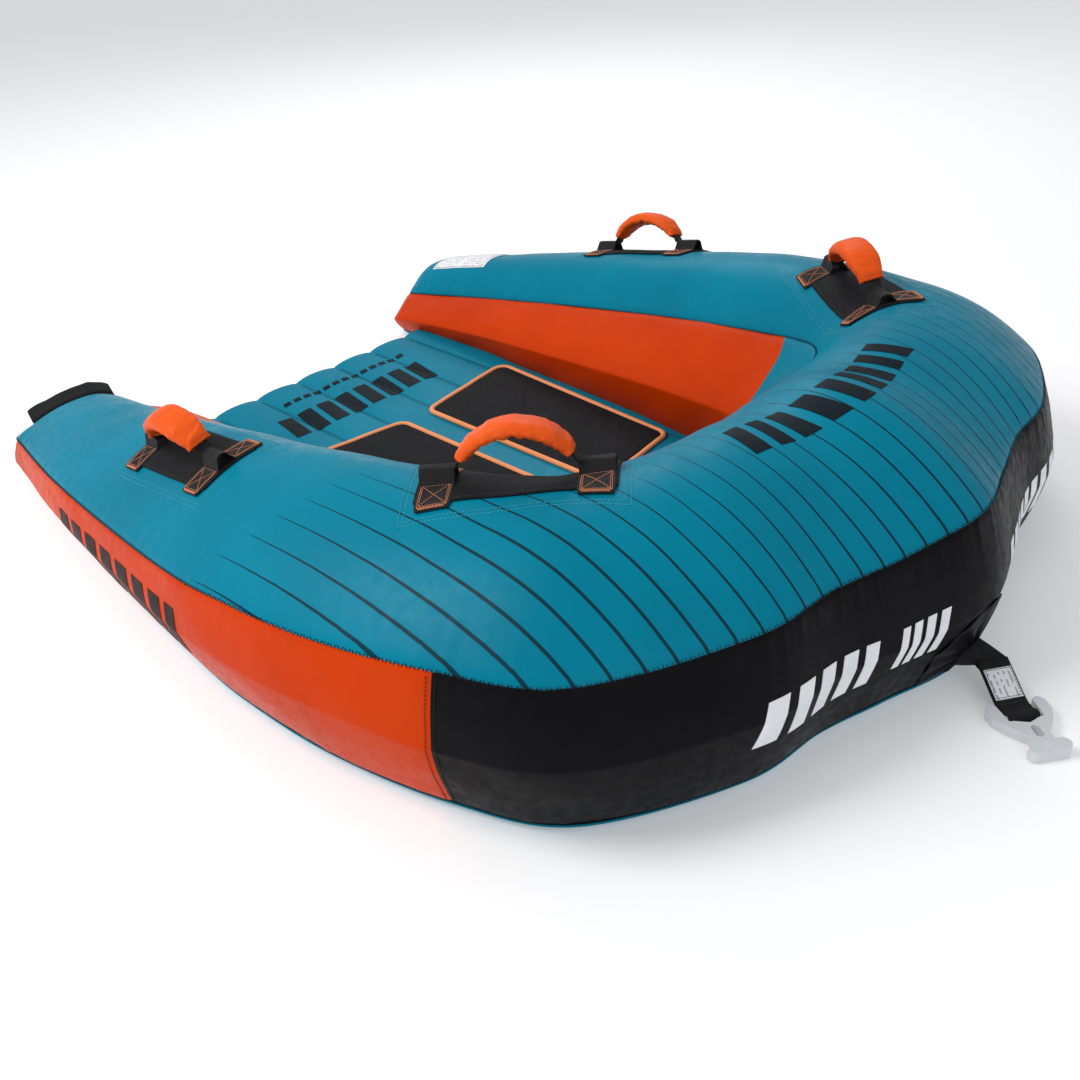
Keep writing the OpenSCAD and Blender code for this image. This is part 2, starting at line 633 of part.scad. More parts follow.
module quick_connector() {
    body_t = 16;
    color(white) turn_to([0, tow_y, bar_z] + forward * strap_run, [0, 0, 1], forward) {
        difference() {
            translate([0, 0, -body_t / 2]) linear_extrude(body_t) connector_outline();
            hull() for (f = [32, 44]) translate([f, 0, -body_t]) cylinder(h = 2 * body_t, r = 6, $fn = 32);
        }
        translate([0, 32, 0]) rotate([90, 0, 0]) cylinder(h = 64, r = bar_r, $fn = 64);
        hull() for (w = [-knob_out, knob_out]) translate([knob_f, w, -bar_z])
            cylinder(h = 2 * bar_z, r = knob_r, $fn = 64);
    }
}

main_bladder();
floor_bladder();
valve_base();
valve_diaphragm();
valve_cap();
floor_valve_base();
floor_valve_cap();
top_cover();
side_panel_starboard();
side_panel_port();
bow_panel();
inner_panel_starboard();
inner_panel_port();
inner_bow_panel();
tail_panel_starboard();
tail_panel_port();
base_panel_starboard();
base_panel_port();
base_panel_bow();
zip_tapes();
zip_coil();
zip_slider();
valve_flap();
floor_top_panel();
floor_edge_band();
floor_bottom_panel();
seat_pad_starboard();
seat_pad_port();
seat_piping_starboard();
seat_piping_port();
knuckle_pad_front_starboard();
knuckle_pad_front_port();
knuckle_pad_rear_starboard();
knuckle_pad_rear_port();
tabs_front_starboard();
tabs_front_port();
tabs_rear_starboard();
tabs_rear_port();
webbing_front_starboard();
webbing_front_port();
webbing_rear_starboard();
webbing_rear_port();
foam_front_starboard();
foam_front_port();
foam_rear_starboard();
foam_rear_port();
sleeve_front_starboard();
sleeve_front_port();
sleeve_rear_starboard();
sleeve_rear_port();
tow_patch();
tow_anchor();
tow_strap();
tow_label();
quick_connector();
care_label();
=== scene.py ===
"""Looks of the towable tube: sewn nylon cover over the air tube, inflatable floor, pads, handles, strap."""
import json
import math

import bpy
import numpy as np
from mathutils import Matrix, Vector


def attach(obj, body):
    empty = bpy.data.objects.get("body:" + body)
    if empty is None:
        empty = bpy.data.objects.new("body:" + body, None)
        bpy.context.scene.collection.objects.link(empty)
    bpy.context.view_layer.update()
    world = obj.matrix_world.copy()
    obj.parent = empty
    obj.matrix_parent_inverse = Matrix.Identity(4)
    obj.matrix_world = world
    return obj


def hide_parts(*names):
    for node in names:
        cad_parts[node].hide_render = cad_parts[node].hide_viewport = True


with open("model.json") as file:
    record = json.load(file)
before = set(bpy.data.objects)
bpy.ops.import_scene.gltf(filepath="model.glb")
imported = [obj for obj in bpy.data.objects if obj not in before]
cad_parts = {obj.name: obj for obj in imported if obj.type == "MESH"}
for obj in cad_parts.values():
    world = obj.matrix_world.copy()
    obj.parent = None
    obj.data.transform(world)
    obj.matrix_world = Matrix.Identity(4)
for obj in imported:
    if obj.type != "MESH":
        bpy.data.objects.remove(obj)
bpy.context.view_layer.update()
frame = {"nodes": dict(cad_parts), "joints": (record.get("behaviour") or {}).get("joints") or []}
NODES = frame["nodes"]
scene = bpy.context.scene


# ---- Camera and light ----

# Solved from the outline in the photograph: metres, degrees and a 36 mm wide sensor
CAMERA_PLACE, CAMERA_LENS = (-1.38, -1.316, 1.146), 38.35
CAMERA_YAW, CAMERA_PITCH, CAMERA_ROLL = 44.7, 32.95, -3.5


def aim(place, yaw, pitch, roll):
    """A camera's matrix: yaw turns it right from +Y, pitch tips it down, roll turns the picture."""
    y, p, r = (math.radians(a) for a in (yaw, pitch, roll))
    ahead = Vector((math.sin(y) * math.cos(p), math.cos(y) * math.cos(p), -math.sin(p)))
    right = Vector((math.cos(y), -math.sin(y), 0))
    up = right.cross(ahead)
    right, up = math.cos(r) * right + math.sin(r) * up, math.cos(r) * up - math.sin(r) * right
    m = Matrix((right, up, -ahead)).transposed().to_4x4()
    m.translation = Vector(place)
    return m


camera = bpy.data.objects.new("camera", bpy.data.cameras.new("camera"))
scene.collection.objects.link(camera)
camera.data.lens = CAMERA_LENS
camera.data.sensor_width = 36
camera.data.clip_start, camera.data.clip_end = 0.05, 150
camera.matrix_world = aim(CAMERA_PLACE, CAMERA_YAW, CAMERA_PITCH, CAMERA_ROLL)
scene.camera = camera


def area_light(name, place, target, size, power, colour=(1, 1, 1)):
    data = bpy.data.lights.new(name, "AREA")
    data.shape, data.size, data.energy, data.color = "DISK", size, power, colour
    o = bpy.data.objects.new(name, data)
    o.location = place
    o.rotation_mode = "QUATERNION"
    o.rotation_quaternion = (Vector(target) - Vector(place)).to_track_quat("-Z", "Y")
    scene.collection.objects.link(o)


area_light("key", (-2.4, 1.4, 3.2), (0, 0, 0.1), 2.0, 105, (1.0, 0.99, 0.97))
area_light("fill", (-1.5, -3.4, 2.0), (0, -0.3, 0.2), 2.6, 15, (0.96, 0.98, 1.0))
area_light("rim", (2.6, 2.4, 3.0), (0.2, 0.2, 0.2), 2.4, 45)
world = bpy.data.worlds.new("studio")
world.use_nodes = True
world.node_tree.nodes["Background"].inputs["Color"].default_value = (0.95, 0.97, 1.0, 1)
world.node_tree.nodes["Background"].inputs["Strength"].default_value = 0.56
scene.world = world
scene.view_settings.view_transform = "Standard"


# ---- Materials ----


class Shader:
    """A node material written as short expressions."""

    def __init__(self, name, **fixed):
        self.mat = bpy.data.materials.new(name)
        self.mat.use_nodes = True
        self.tree = self.mat.node_tree
        self.bsdf = self.tree.nodes["Principled BSDF"]
        for key, value in fixed.items():
            self.bsdf.inputs[key.replace("_", " ")].default_value = value
        self.coords = self.tree.nodes.new("ShaderNodeTexCoord").outputs

    def put(self, socket, value):
        if isinstance(value, bpy.types.NodeSocket):
            self.tree.links.new(value, socket)
        else:
            socket.default_value = value

    def math(self, op, *values, clamp=False):
        n = self.tree.nodes.new("ShaderNodeMath")
        n.operation, n.use_clamp = op, clamp
        for socket, value in zip(n.inputs, values):
            self.put(socket, value)
        return n.outputs[0]

    def xyz(self, vector):
        n = self.tree.nodes.new("ShaderNodeSeparateXYZ")
        self.put(n.inputs[0], vector)
        return n.outputs

    def noise(self, vector, scale, detail=2.0, rough=0.5):
        n = self.tree.nodes.new("ShaderNodeTexNoise")
        self.put(n.inputs["Vector"], vector)
        for key, value in (("Scale", scale), ("Detail", detail), ("Roughness", rough)):
            n.inputs[key].default_value = value
        return n.outputs[0]

    def ramp(self, value, a, b, c, d, smooth=True):
        n = self.tree.nodes.new("ShaderNodeMapRange")
        n.interpolation_type = "SMOOTHSTEP" if smooth else "LINEAR"
        for socket, v in zip(n.inputs[:5], (value, a, b, c, d)):
            self.put(socket, v)
        return n.outputs[0]

    def mix(self, share, a, b, kind="MIX"):
        n = self.tree.nodes.new("ShaderNodeMix")
        n.data_type, n.blend_type = "RGBA", kind
        for i, v in ((0, share), (6, a), (7, b)):
            self.put(n.inputs[i], v)
        return n.outputs[2]

    def scaled(self, vector, by):
        n = self.tree.nodes.new("ShaderNodeVectorMath")
        n.operation = "MULTIPLY"
        self.put(n.inputs[0], vector)
        n.inputs[1].default_value = by
        return n.outputs[0]

    def finish(self, colour=None, rough=None, height=None, strength=0.3, distance=0.001):
        if colour is not None:
            self.put(self.bsdf.inputs["Base Color"], colour)
        if rough is not None:
            self.put(self.bsdf.inputs["Roughness"], rough)
        if height is not None:
            n = self.tree.nodes.new("ShaderNodeBump")
            n.inputs["Strength"].default_value = strength
            n.inputs["Distance"].default_value = distance
            self.put(n.inputs["Height"], height)
            self.tree.links.new(n.outputs[0], self.bsdf.inputs["Normal"])
        return self.mat


STRIPE_PITCH = 0.0365


def rgb(r, g, b):
    return (r, g, b, 1)


def weave(sh, pitch, twill=False):
    """Threads over and under each other, from -1 to 1, on the piece's own cloth coordinates."""
    u, v, _ = sh.xyz(sh.coords["UV"])
    k = 2 * math.pi / pitch
    a, b = sh.math("SINE", sh.math("MULTIPLY", u, k)), sh.math("SINE", sh.math("MULTIPLY", v, k))
    if twill:
        return sh.math("SINE", sh.math("MULTIPLY", sh.math("ADD", u, v), k))
    return sh.math("MULTIPLY", a, b)


def nylon(name, lit, deep, rough=(0.30, 0.44), pitch=0.0016, stripes=False):
    """Thin woven cloth with little shine, with painted shade in the hollows of its weave; stripes adds the printed
    pinstripes of the bow.
    """
    sh = Shader(name, Specular_IOR_Level=0.06)
    place = sh.coords["Object"]
    cloth = weave(sh, pitch)
    broad, fine = sh.noise(place, 4.5, 3), sh.noise(place, 60, 4, 0.6)
    share = sh.math("ADD", sh.ramp(broad, 0.3, 0.7, 0, 0.75), sh.math("MULTIPLY", fine, 0.25))
    colour = sh.mix(share, rgb(*lit), rgb(*deep))
    # painted shade: up to a tenth darker where the weave's threads dip, the low places of its bump
    colour = sh.mix(sh.ramp(cloth, -1, 1, 0.10, 0, False), colour, rgb(0, 0, 0))
    if stripes:
        x, y, _ = sh.xyz(place)
        out = sh.math("ABSOLUTE", x)
        end = sh.math("ADD", sh.ramp(out, 0.36, 0.58, -0.43, -0.08), sh.ramp(out, 0.58, 0.8, 0, 0.12))
        gone = sh.math("SUBTRACT", end, y)
        half = sh.math("MINIMUM", sh.math("MULTIPLY_ADD", gone, 0.0052, 0.0004), 0.0022)
        near = sh.math("SUBTRACT", half, sh.math("PINGPONG", x, STRIPE_PITCH / 2))
        line = sh.ramp(near, -0.0003, 0.0004, 0, 0.92)
        line = sh.math("MULTIPLY", line, sh.ramp(gone, 0, 0.03, 0, 1))
        colour = sh.mix(line, colour, rgb(0.004, 0.022, 0.032))
    height = sh.math("ADD", sh.math("MULTIPLY", cloth, 0.25), sh.math("MULTIPLY", fine, 0.12))
    return sh.finish(colour, sh.ramp(fine, 0.3, 0.7, *rough), height, 0.16, 0.0006)


def webbing(name, lit, deep, pitch=0.0024):
    """Ribbed strap or twisted thread, a little worn, with light and shade painted on its ribs."""
    sh = Shader(name, Specular_IOR_Level=0.2, Sheen_Weight=0.03)
    u, v, _ = sh.xyz(sh.coords["UV"])
    k = 2 * math.pi / pitch
    row = sh.math("SINE", sh.math("MULTIPLY", v, k))
    rib = sh.math("SINE", sh.math("ADD", sh.math("MULTIPLY", u, k * 0.7), sh.math("MULTIPLY", row, 1.3)))
    # painted light and shade: the lit colour on the crests of the ribs and the deep colour in the hollows between
    # them, as the bump rises and sinks
    share = sh.ramp(rib, -1, 1, 0, 1)
    colour = sh.mix(share, rgb(*deep), rgb(*lit))
    worn = sh.noise(sh.coords["Object"], 90, 4, 0.6)
    colour = sh.mix(sh.ramp(worn, 0.55, 0.8, 0, 0.35), colour, rgb(*(c * 2 + 0.01 for c in lit)))
    height = sh.math("ADD", sh.math("MULTIPLY", rib, 0.6), sh.math("MULTIPLY", row, 0.4))
    return sh.finish(colour, sh.ramp(worn, 0.3, 0.7, 0.55, 0.75), height, 0.5, 0.0007)


def moulded(name, lit, deep, rough=(0.4, 0.55), grain=900, coat=0.0, strength=0.12):
    """Smooth plastic, film or foam with a fine grain."""
    sh = Shader(name, Specular_IOR_Level=0.5, Coat_Weight=coat, Coat_Roughness=0.15)
    place = sh.coords["Object"]
    broad, fine = sh.noise(place, 20, 3), sh.noise(place, grain, 3, 0.6)
    colour = sh.mix(sh.ramp(broad, 0.3, 0.7, 0, 1), rgb(*lit), rgb(*deep))
    return sh.finish(colour, sh.ramp(broad, 0.3, 0.7, *rough), fine, strength, 0.0004)


def neoprene(name, lit, deep):
    """Knitted cloth over soft foam."""
    sh = Shader(name, Specular_IOR_Level=0.08, Sheen_Weight=0.015, Sheen_Roughness=0.5)
    place = sh.coords["Object"]
    knit, fine = weave(sh, 0.0022, True), sh.noise(place, 250, 4, 0.65)
    colour = sh.mix(sh.ramp(knit, -1, 1, 0, 0.6), rgb(*lit), rgb(*deep))
    colour = sh.mix(sh.ramp(sh.noise(place, 14, 3), 0.35, 0.75, 0, 0.3), colour, rgb(*(2 * c for c in lit)))
    height = sh.math("ADD", sh.math("MULTIPLY", knit, 0.35), fine)
    return sh.finish(colour, sh.ramp(fine, 0.3, 0.7, 0.55, 0.78), height, 0.4, 0.0006)


def print_lines(name):
    """White label cloth with grey rules in place of small print."""
    sh = Shader(name, Specular_IOR_Level=0.45, Sheen_Weight=0.1)
    u, v, _ = sh.xyz(sh.coords["UV"])
    row = sh.ramp(sh.math("PINGPONG", v, 0.004), 0.0024, 0.0028, 0, 1)
    gap = sh.ramp(sh.noise(sh.scaled(sh.coords["UV"], (160, 125, 1)), 1, 0), 0.42, 0.48, 0, 1)
    inside = sh.math("MULTIPLY", sh.ramp(sh.math("PINGPONG", u, 0.045), 0.006, 0.007, 0, 1), gap)
    rule = sh.math("MULTIPLY", row, sh.math("MULTIPLY", inside, 0.7))
    colour = sh.mix(rule, rgb(0.82, 0.83, 0.85), rgb(0.2, 0.21, 0.26))
    return sh.finish(colour, 0.5, weave(sh, 0.0012), 0.25, 0.0004)


TEAL = nylon("teal_nylon", (0.0, 0.215, 0.325), (0.0, 0.176, 0.270), stripes=True)
TEAL_PLAIN = nylon("teal_nylon_plain", (0.0, 0.208, 0.316), (0.0, 0.170, 0.260))
ORANGE = nylon("orange_nylon", (0.62, 0.048, 0.001), (0.53, 0.036, 0.0005))
BLACK = nylon("black_nylon", (0.0055, 0.0050, 0.0062), (0.0035, 0.0032, 0.0042), (0.36, 0.52))
WEBBING = webbing("black_webbing", (0.012, 0.012, 0.013), (0.003, 0.003, 0.0035))
RUBBER = neoprene("black_neoprene", (0.0095, 0.0100, 0.0115), (0.0050, 0.0055, 0.0065))
PAD = neoprene("pad_cloth", (0.0085, 0.0090, 0.0105), (0.0050, 0.0055, 0.0062))
PIPING = nylon("peach_piping", (0.90, 0.36, 0.165), (0.82, 0.29, 0.120), (0.45, 0.6), 0.0012)
GRIP = nylon("grip_cloth", (0.88, 0.120, 0.018), (0.78, 0.090, 0.010))
WHITE = moulded("white_plastic", (0.66, 0.68, 0.70), (0.60, 0.62, 0.645), (0.22, 0.34), 500, 0.4, 0.05)
PLASTIC = moulded("black_plastic", (0.018, 0.018, 0.020), (0.012, 0.012, 0.013))
FILM = moulded("grey_film", (0.10, 0.12, 0.14), (0.08, 0.095, 0.115), (0.3, 0.42), 300)
FOAM = moulded("foam", (0.80, 0.80, 0.76), (0.70, 0.70, 0.66), (0.8, 0.95), 1500, 0.0, 0.6)
METAL = Shader("zip_metal", Metallic=0.9)
METAL = METAL.finish(METAL.mix(METAL.noise(METAL.coords["Object"], 300), rgb(0.2, 0.2, 0.21),
                               rgb(0.12, 0.12, 0.13)), 0.38, METAL.noise(METAL.coords["Object"], 900), 0.1)
DARK_THREAD = webbing("dark_thread", (0.010, 0.030, 0.040), (0.004, 0.012, 0.016), 0.0009)
PALE_THREAD = webbing("pale_thread", (0.10, 0.50, 0.62), (0.05, 0.36, 0.48), 0.0009)
ORANGE_THREAD = webbing("orange_thread", (0.84, 0.34, 0.18), (0.62, 0.20, 0.09), 0.0009)
GREY_THREAD = webbing("grey_thread", (0.06, 0.065, 0.07), (0.03, 0.03, 0.035), 0.0009)
INK = nylon("dark_ink", (0.006, 0.014, 0.020), (0.004, 0.010, 0.014), (0.42, 0.5))
INK_ON_ORANGE = nylon("dark_ink_on_orange", (0.030, 0.012, 0.012), (0.020, 0.009, 0.009), (0.42, 0.5))
WHITE_INK = moulded("white_ink", (0.82, 0.83, 0.86), (0.74, 0.75, 0.79), (0.4, 0.5), 700)
LABEL = print_lines("label_cloth")


# ---- The hull surface, as the CAD makes it, in millimetres ----

STATIONS = np.array([
    [610, 980, 350, 900, 100, 85, 85, 40], [645, 955, 320, 875, 130, 90, 90, 40],
    [660, 900, 315, 825, 155, 95, 100, 50], [715, 650, 315, 610, 205, 130, 135, 75],
    [760, 365, 300, 345, 260, 165, 180, 105], [795, 95, 280, 95, 310, 200, 220, 125],
    [800, -60, 265, -25, 335, 220, 240, 135], [785, -240, 250, -155, 355, 235, 260, 145],
    [735, -445, 230, -225, 370, 250, 280, 145], [650, -610, 200, -250, 380, 255, 290, 150],
    [430, -735, 150, -260, 390, 265, 300, 150], [275, -760, 95, -260, 390, 265, 300, 145],
    [155, -795, 50, -260, 385, 265, 305, 140], [0, -835, 0, -260, 405, 280, 315, 145]], float)
BOW = len(STATIONS) - 1
LAST = 2 * BOW
ALL = np.vstack([STATIONS * [-1, 1, -1, 1, 1, 1, 1, 1], STATIONS[:-1][::-1]])
ALL = np.vstack([2 * ALL[0] - ALL[1], ALL, 2 * ALL[-1] - ALL[-2]])


def mix(a, b, f):
    return a + (b - a) * f


def squared(x, power):
    """A sine or cosine made fuller, which squares off the circle it draws."""
    return math.copysign(abs(x) ** power, x)


def bulge(q):
    return (q + np.sin(q * math.pi / 2)) / 2


def swell(q):
    return (q + 1 - np.cos(q * math.pi / 2)) / 2


def step(x, a, b):
    """0 before a, 1 after b, and smooth between."""
    q = np.clip((x - a) / (b - a), 0, 1)
    return q * q * (3 - 2 * q)


class Section:
    """The station values at each place s."""

    def __init__(self, s):
        s = np.asarray(s, float)
        k = np.clip(np.floor(s).astype(int), 0, LAST - 1)
        q = (s - k)[..., None]
        a, b, c, d = (ALL[np.clip(k + j, 0, len(ALL) - 1)] for j in range(4))
        v = (2 * b + (c - a) * q + (2 * a - 5 * b + 4 * c - d) * q**2
             + (3 * b - 3 * c + d - a) * q**3) / 2
        self.bow = 1 - np.abs(s - BOW) / BOW
        self.mid = (v[..., 0:2] + v[..., 2:4]) / 2
        across = v[..., 0:2] - v[..., 2:4]
        self.w = np.linalg.norm(across, axis=-1) / 2
        self.out = across / (2 * self.w[..., None])
        self.crown, self.outer, self.inner, self.crease = (v[..., i] for i in (4, 5, 6, 7))
        self.fo, self.fi = mix(0.92, 0.875, self.bow), mix(0.49, 0.54, self.bow)
        self.ff = mix(0.81, 0.88, self.bow)

    def place(self, out, z):
        return np.concatenate([self.mid + self.out * out[..., None], np.asarray(z)[..., None]], -1)


_walk = np.linspace(0, LAST, 1301)
_path = Section(_walk).mid + Section(_walk).out * Section(_walk).w[:, None]
_length = np.concatenate([[0], np.cumsum(np.linalg.norm(np.diff(_path, axis=0), axis=1))])


def run(s):
    """Distance along the outside of the hull, counted alike from either tail."""
    return np.interp(BOW - np.abs(np.asarray(s, float) - BOW), _walk, _length)


def ripple(x):
    """An uneven wave from about -1 to 1, the same on each run."""
    return (np.sin(x) + 0.6 * np.sin(2.3 * x + 1.3) + 0.4 * np.sin(3.7 * x + 2.1)) / 1.6


def creased(x):
    """Rounded puffs between narrow creases."""
    r = ripple(x)
    return 0.35 * r + 0.9 * np.abs(r) ** 0.6 - 0.6


def pucker(length, away, size, pitch, reach):
    """Small gathers that run in from a seam, and the valley that the seam itself pulls."""
    strong = 0.75 + 0.25 * ripple(length / 61 + 0.7)
    folds = size * strong * np.exp(-away / reach) * (1 - np.exp(-away / 7)) * creased(length * 6.28 / pitch)
    return folds - 2.2 * np.exp(-((away / 6) ** 2))


def plain_crown(s, u):
    """The crown without its gathers, as the CAD has it."""
    c = Section(s)
    half = c.w * np.where(u > 0, c.fo, c.fi)
    return c.place(half * u, mix(c.crown, np.where(u > 0, c.outer, c.inner), u * u))


def crown(s, u, lift=0.0):
    """The top cloth: u is 1 on the outer seam and -1 on the inner seam."""
    s, u = np.broadcast_arrays(np.asarray(s, float), np.asarray(u, float))
    c = Section(s)
    half = c.w * np.where(u > 0, c.fo, c.fi)
    p, e = plain_crown(s, u), 0.01
    n = np.cross(plain_crown(s + e, u) - plain_crown(s - e, u), plain_crown(s, u - e) - plain_crown(s, u + e))
    n /= np.linalg.norm(n, axis=-1, keepdims=True)
    length = run(s)
    out, inn = (1 - u) * half * 1.2, (1 + u) * half * 1.3
    out, inn = np.where(u > 0, np.abs(out), 400), np.where(u > 0, 400, np.abs(inn))
    d = pucker(length, out, 2.2, 46, 34) + pucker(length, inn, 2.8, 84, 42)
    d += 1.3 * ripple(length / 85 + 1.7 * u) * (1 - u * u)
    return p + n * (d + lift)[..., None]


def wall(s, t, lift=0.0):
    """The side cloth: t runs 0 to 2 to 4 from the foot over the crease to the outer top seam, then
    16 to 18 to 20 from the inner top seam over the crease to the inner foot, and 20 to 26 below."""
    s, t = np.broadcast_arrays(np.asarray(s, float), np.asarray(t, float))

    def at(s, t):
        c = Section(s)
        iz = 0.41 * c.crown
        w, foot = c.w, c.w * c.ff
        q0, q1, q2, q3 = (np.clip((t - k) / 2, 0, 1) for k in (0, 2, 16, 18))
        q4, q5, q6 = np.clip((t - 20) / 2, 0, 1), np.clip((t - 22) / 2, 0, 1), np.clip((t - 24) / 2, 0, 1)
        ranges = [t <= 2, t <= 4, t <= 18, t <= 20, t <= 22, t <= 24]
        out = np.select(ranges, [w * mix(c.ff, 1, bulge(q0)), w * mix(1, c.fo, swell(q1)),
                                 -w * mix(c.fi, 1, bulge(q2)), -w * mix(1, c.ff, swell(q3)),
                                 -foot + 40 * (1 - np.cos(q4 * math.pi / 2)), mix(40 - foot, foot - 40, q5)],
                        foot - 40 + 40 * np.sin(q6 * math.pi / 2))
        z = np.select(ranges, [mix(14, c.crease, q0), mix(c.crease, c.outer, q1),
                               mix(c.inner, iz, q2), mix(iz, 14, q3),
                               14 * (1 - np.sin(q4 * math.pi / 2)), 0 * t],
                      14 * (1 - np.cos(q6 * math.pi / 2)))
        return c.place(out, z), c

    p, c = at(s, t)
    e = 0.01
    lo, hi = np.where(t <= 4, np.maximum(t - e, 0), t - e), np.where(t <= 4, np.minimum(t + e, 4), t + e)
    n = np.cross(at(s + e, t)[0] - at(s - e, t)[0], at(s, hi)[0] - at(s, lo)[0])
    n /= np.linalg.norm(n, axis=-1, keepdims=True) + 1e-9
    length = run(s)
    tall = np.where(t < 10, c.outer, c.inner)
    away_top = np.where(t < 10, 4 - t, t - 16) / 4 * tall * 1.15
    away_foot = np.where(t < 10, t, 20 - t) / 4 * tall * 1.15
    dark = step(s, 8, 8.1) * step(LAST - s, 8, 8.1) * (t < 10)
    size = 1.6 + 1.6 * dark
    d = pucker(length, np.maximum(away_top, 0), size, 38, 36)
    d += pucker(length, np.maximum(away_foot, 0), 1.8, 56, 30)
    joint = np.minimum(np.abs(length - run(8)), 400)
    d += np.where(t < 10, -1.6 * np.exp(-((joint / 6) ** 2)) + 1.0 * np.exp(-joint / 30)
                  * (1 - np.exp(-joint / 6)) * ripple(t * 7), 0)
    d += 1.2 * ripple(length / 95 + t) * np.where(t < 20, 1, 0)
    d = np.where(t > 20, np.where((t > 25.9) | (t < 20.1), -2.0, 0.0), d)
    return p + n * (d + lift)[..., None]


# ---- Mesh helpers ----

MM_PER_M = 1000.0


def add_mesh(name, verts, faces, mat, body="hull", uv=None, slot=None, replaces=(), smooth=True):
    me = bpy.data.meshes.new(name)
    me.from_pydata((np.asarray(verts) / MM_PER_M).tolist(), [], [list(map(int, f)) for f in faces])
    if uv is not None:
        layer = me.uv_layers.new(name="cloth")
        index = np.zeros(len(me.loops), np.int32)
        me.loops.foreach_get("vertex_index", index)
        layer.data.foreach_set("uv", np.asarray(uv, np.float32)[index].ravel())
    me.materials.append(mat)
    if smooth:
        me.shade_smooth()
    me.update()
    o = bpy.data.objects.new(name, me)
    scene.collection.objects.link(o)
    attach(o, body)
    if replaces:
        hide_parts(*replaces)
    return o


def grid_faces(n, m, wrap_n=False, wrap_m=False, flip=False, start=0):
    i, j = np.meshgrid(np.arange(n if wrap_n else n - 1), np.arange(m if wrap_m else m - 1), indexing="ij")
    a, b = i * m + j, ((i + 1) % n) * m + j
    c, d = ((i + 1) % n) * m + (j + 1) % m, i * m + (j + 1) % m
    f = np.stack([a, b, c, d], -1).reshape(-1, 4) + start
    return f[:, ::-1] if flip else f


def cloth_uv(p):
    """Cloth coordinates in metres, measured along both directions of a grid of points."""
    du = np.linalg.norm(np.diff(p, axis=0), axis=-1).mean(1)
    dv = np.linalg.norm(np.diff(p, axis=1), axis=-1).mean(0)
    u, v = np.concatenate([[0], np.cumsum(du)]), np.concatenate([[0], np.cumsum(dv)])
    return np.stack(np.meshgrid(u, v, indexing="ij"), -1).reshape(-1, 2) / MM_PER_M


def cloth_piece(name, p, mat, flip=False, on=("main_bladder",), **kw):
    n, m = p.shape[:2]
    o = add_mesh(name, p.reshape(-1, 3), grid_faces(n, m, flip=flip), mat, uv=cloth_uv(p), **kw)
    return o


def slab_arrays(top, bottom):
    """A closed thin solid between two grids of points."""
    n, m = top.shape[:2]
    verts = np.concatenate([top.reshape(-1, 3), bottom.reshape(-1, 3)])
    faces = [grid_faces(n, m), grid_faces(n, m, flip=True, start=n * m)]
    rim = np.concatenate([np.arange(m - 1), np.arange(n - 1) * m + m - 1, n * m - 1 - np.arange(m - 1),
                          (n - 1 - np.arange(n - 1)) * m])
    nxt = np.roll(rim, -1)
    faces.append(np.stack([rim, nxt, nxt + n * m, rim + n * m], -1))
    return verts, np.concatenate(faces), np.tile(cloth_uv(top), (2, 1))


def tube_arrays(rings, closed=False):
    """A solid swept along closed rings of points; rings is (count, points, 3)."""
    n, m = rings.shape[:2]
    verts = rings.reshape(-1, 3)
    u = np.concatenate([[0], np.cumsum(np.linalg.norm(np.diff(rings, axis=0), axis=-1).mean(1))])
    v = np.concatenate([[0], np.cumsum(np.linalg.norm(np.diff(rings, axis=1), axis=-1).mean(0))])
    uv = np.stack(np.meshgrid(u, v, indexing="ij"), -1).reshape(-1, 2) / MM_PER_M
    faces = [list(f) for f in grid_faces(n, m, wrap_n=closed, wrap_m=True)]
    if not closed:
        faces += [list(range(m)), list(range(n * m - 1, n * m - m - 1, -1))]
    return verts, faces, uv


def mirrored(arrays):
    verts, faces, uv = arrays
    return verts * [-1, 1, 1], [list(f)[::-1] for f in faces], uv


def bevel(o, width):
    mod = o.modifiers.new("soft_edge", "BEVEL")
    mod.width, mod.segments, mod.limit_method = width / MM_PER_M, 3, "ANGLE"
    mod.angle_limit = math.radians(35)
    return o


def stitch_arrays(path, normals, pitch, length, width=1.1, height=0.9, zigzag=0.0):
    """Separate stitches of thread along a path."""
    seg = np.linalg.norm(np.diff(path, axis=0), axis=1)
    dist = np.concatenate([[0], np.cumsum(seg)])
    at = np.arange(pitch / 2, dist[-1] - pitch / 3, pitch)
    pos = np.stack([np.interp(at, dist, path[:, k]) for k in range(3)], -1)
    nrm = np.stack([np.interp(at, dist, normals[:, k]) for k in range(3)], -1)
    ahead = np.stack([np.interp(at + 1, dist, path[:, k]) - np.interp(at - 1, dist, path[:, k])
                      for k in range(3)], -1)
    nrm /= np.linalg.norm(nrm, axis=1, keepdims=True)
    ahead /= np.linalg.norm(ahead, axis=1, keepdims=True) + 1e-9
    side = np.cross(nrm, ahead)
    turn = zigzag * np.where(np.arange(len(at)) % 2, 1, -1)[:, None]
    x, y = ahead * np.cos(turn) + side * np.sin(turn), side * np.cos(turn) - ahead * np.sin(turn)
    l, w, h = length / 2, width / 2, height
    shape = np.array([[-l, -w * .5, -.3], [-l, w * .5, -.3], [-l * .6, w, h], [-l * .6, -w, h],
                      [l, -w * .5, -.3], [l, w * .5, -.3], [l * .6, w, h], [l * .6, -w, h]])
    verts = (pos[:, None] + shape[None, :, 0:1] * x[:, None] + shape[None, :, 1:2] * y[:, None]
             + shape[None, :, 2:3] * nrm[:, None]).reshape(-1, 3)
    base = np.array([[0, 3, 2, 1], [4, 5, 6, 7], [0, 4, 7, 3], [1, 2, 6, 5], [3, 7, 6, 2], [0, 1, 5, 4]])
    faces = (base[None] + 8 * np.arange(len(at))[:, None, None]).reshape(-1, 4)
    uv = np.tile(shape[:, :2] / MM_PER_M, (len(at), 1))
    return verts, faces, uv


def upright(path):
    return np.tile([0, 0, 1.0], (len(path), 1))


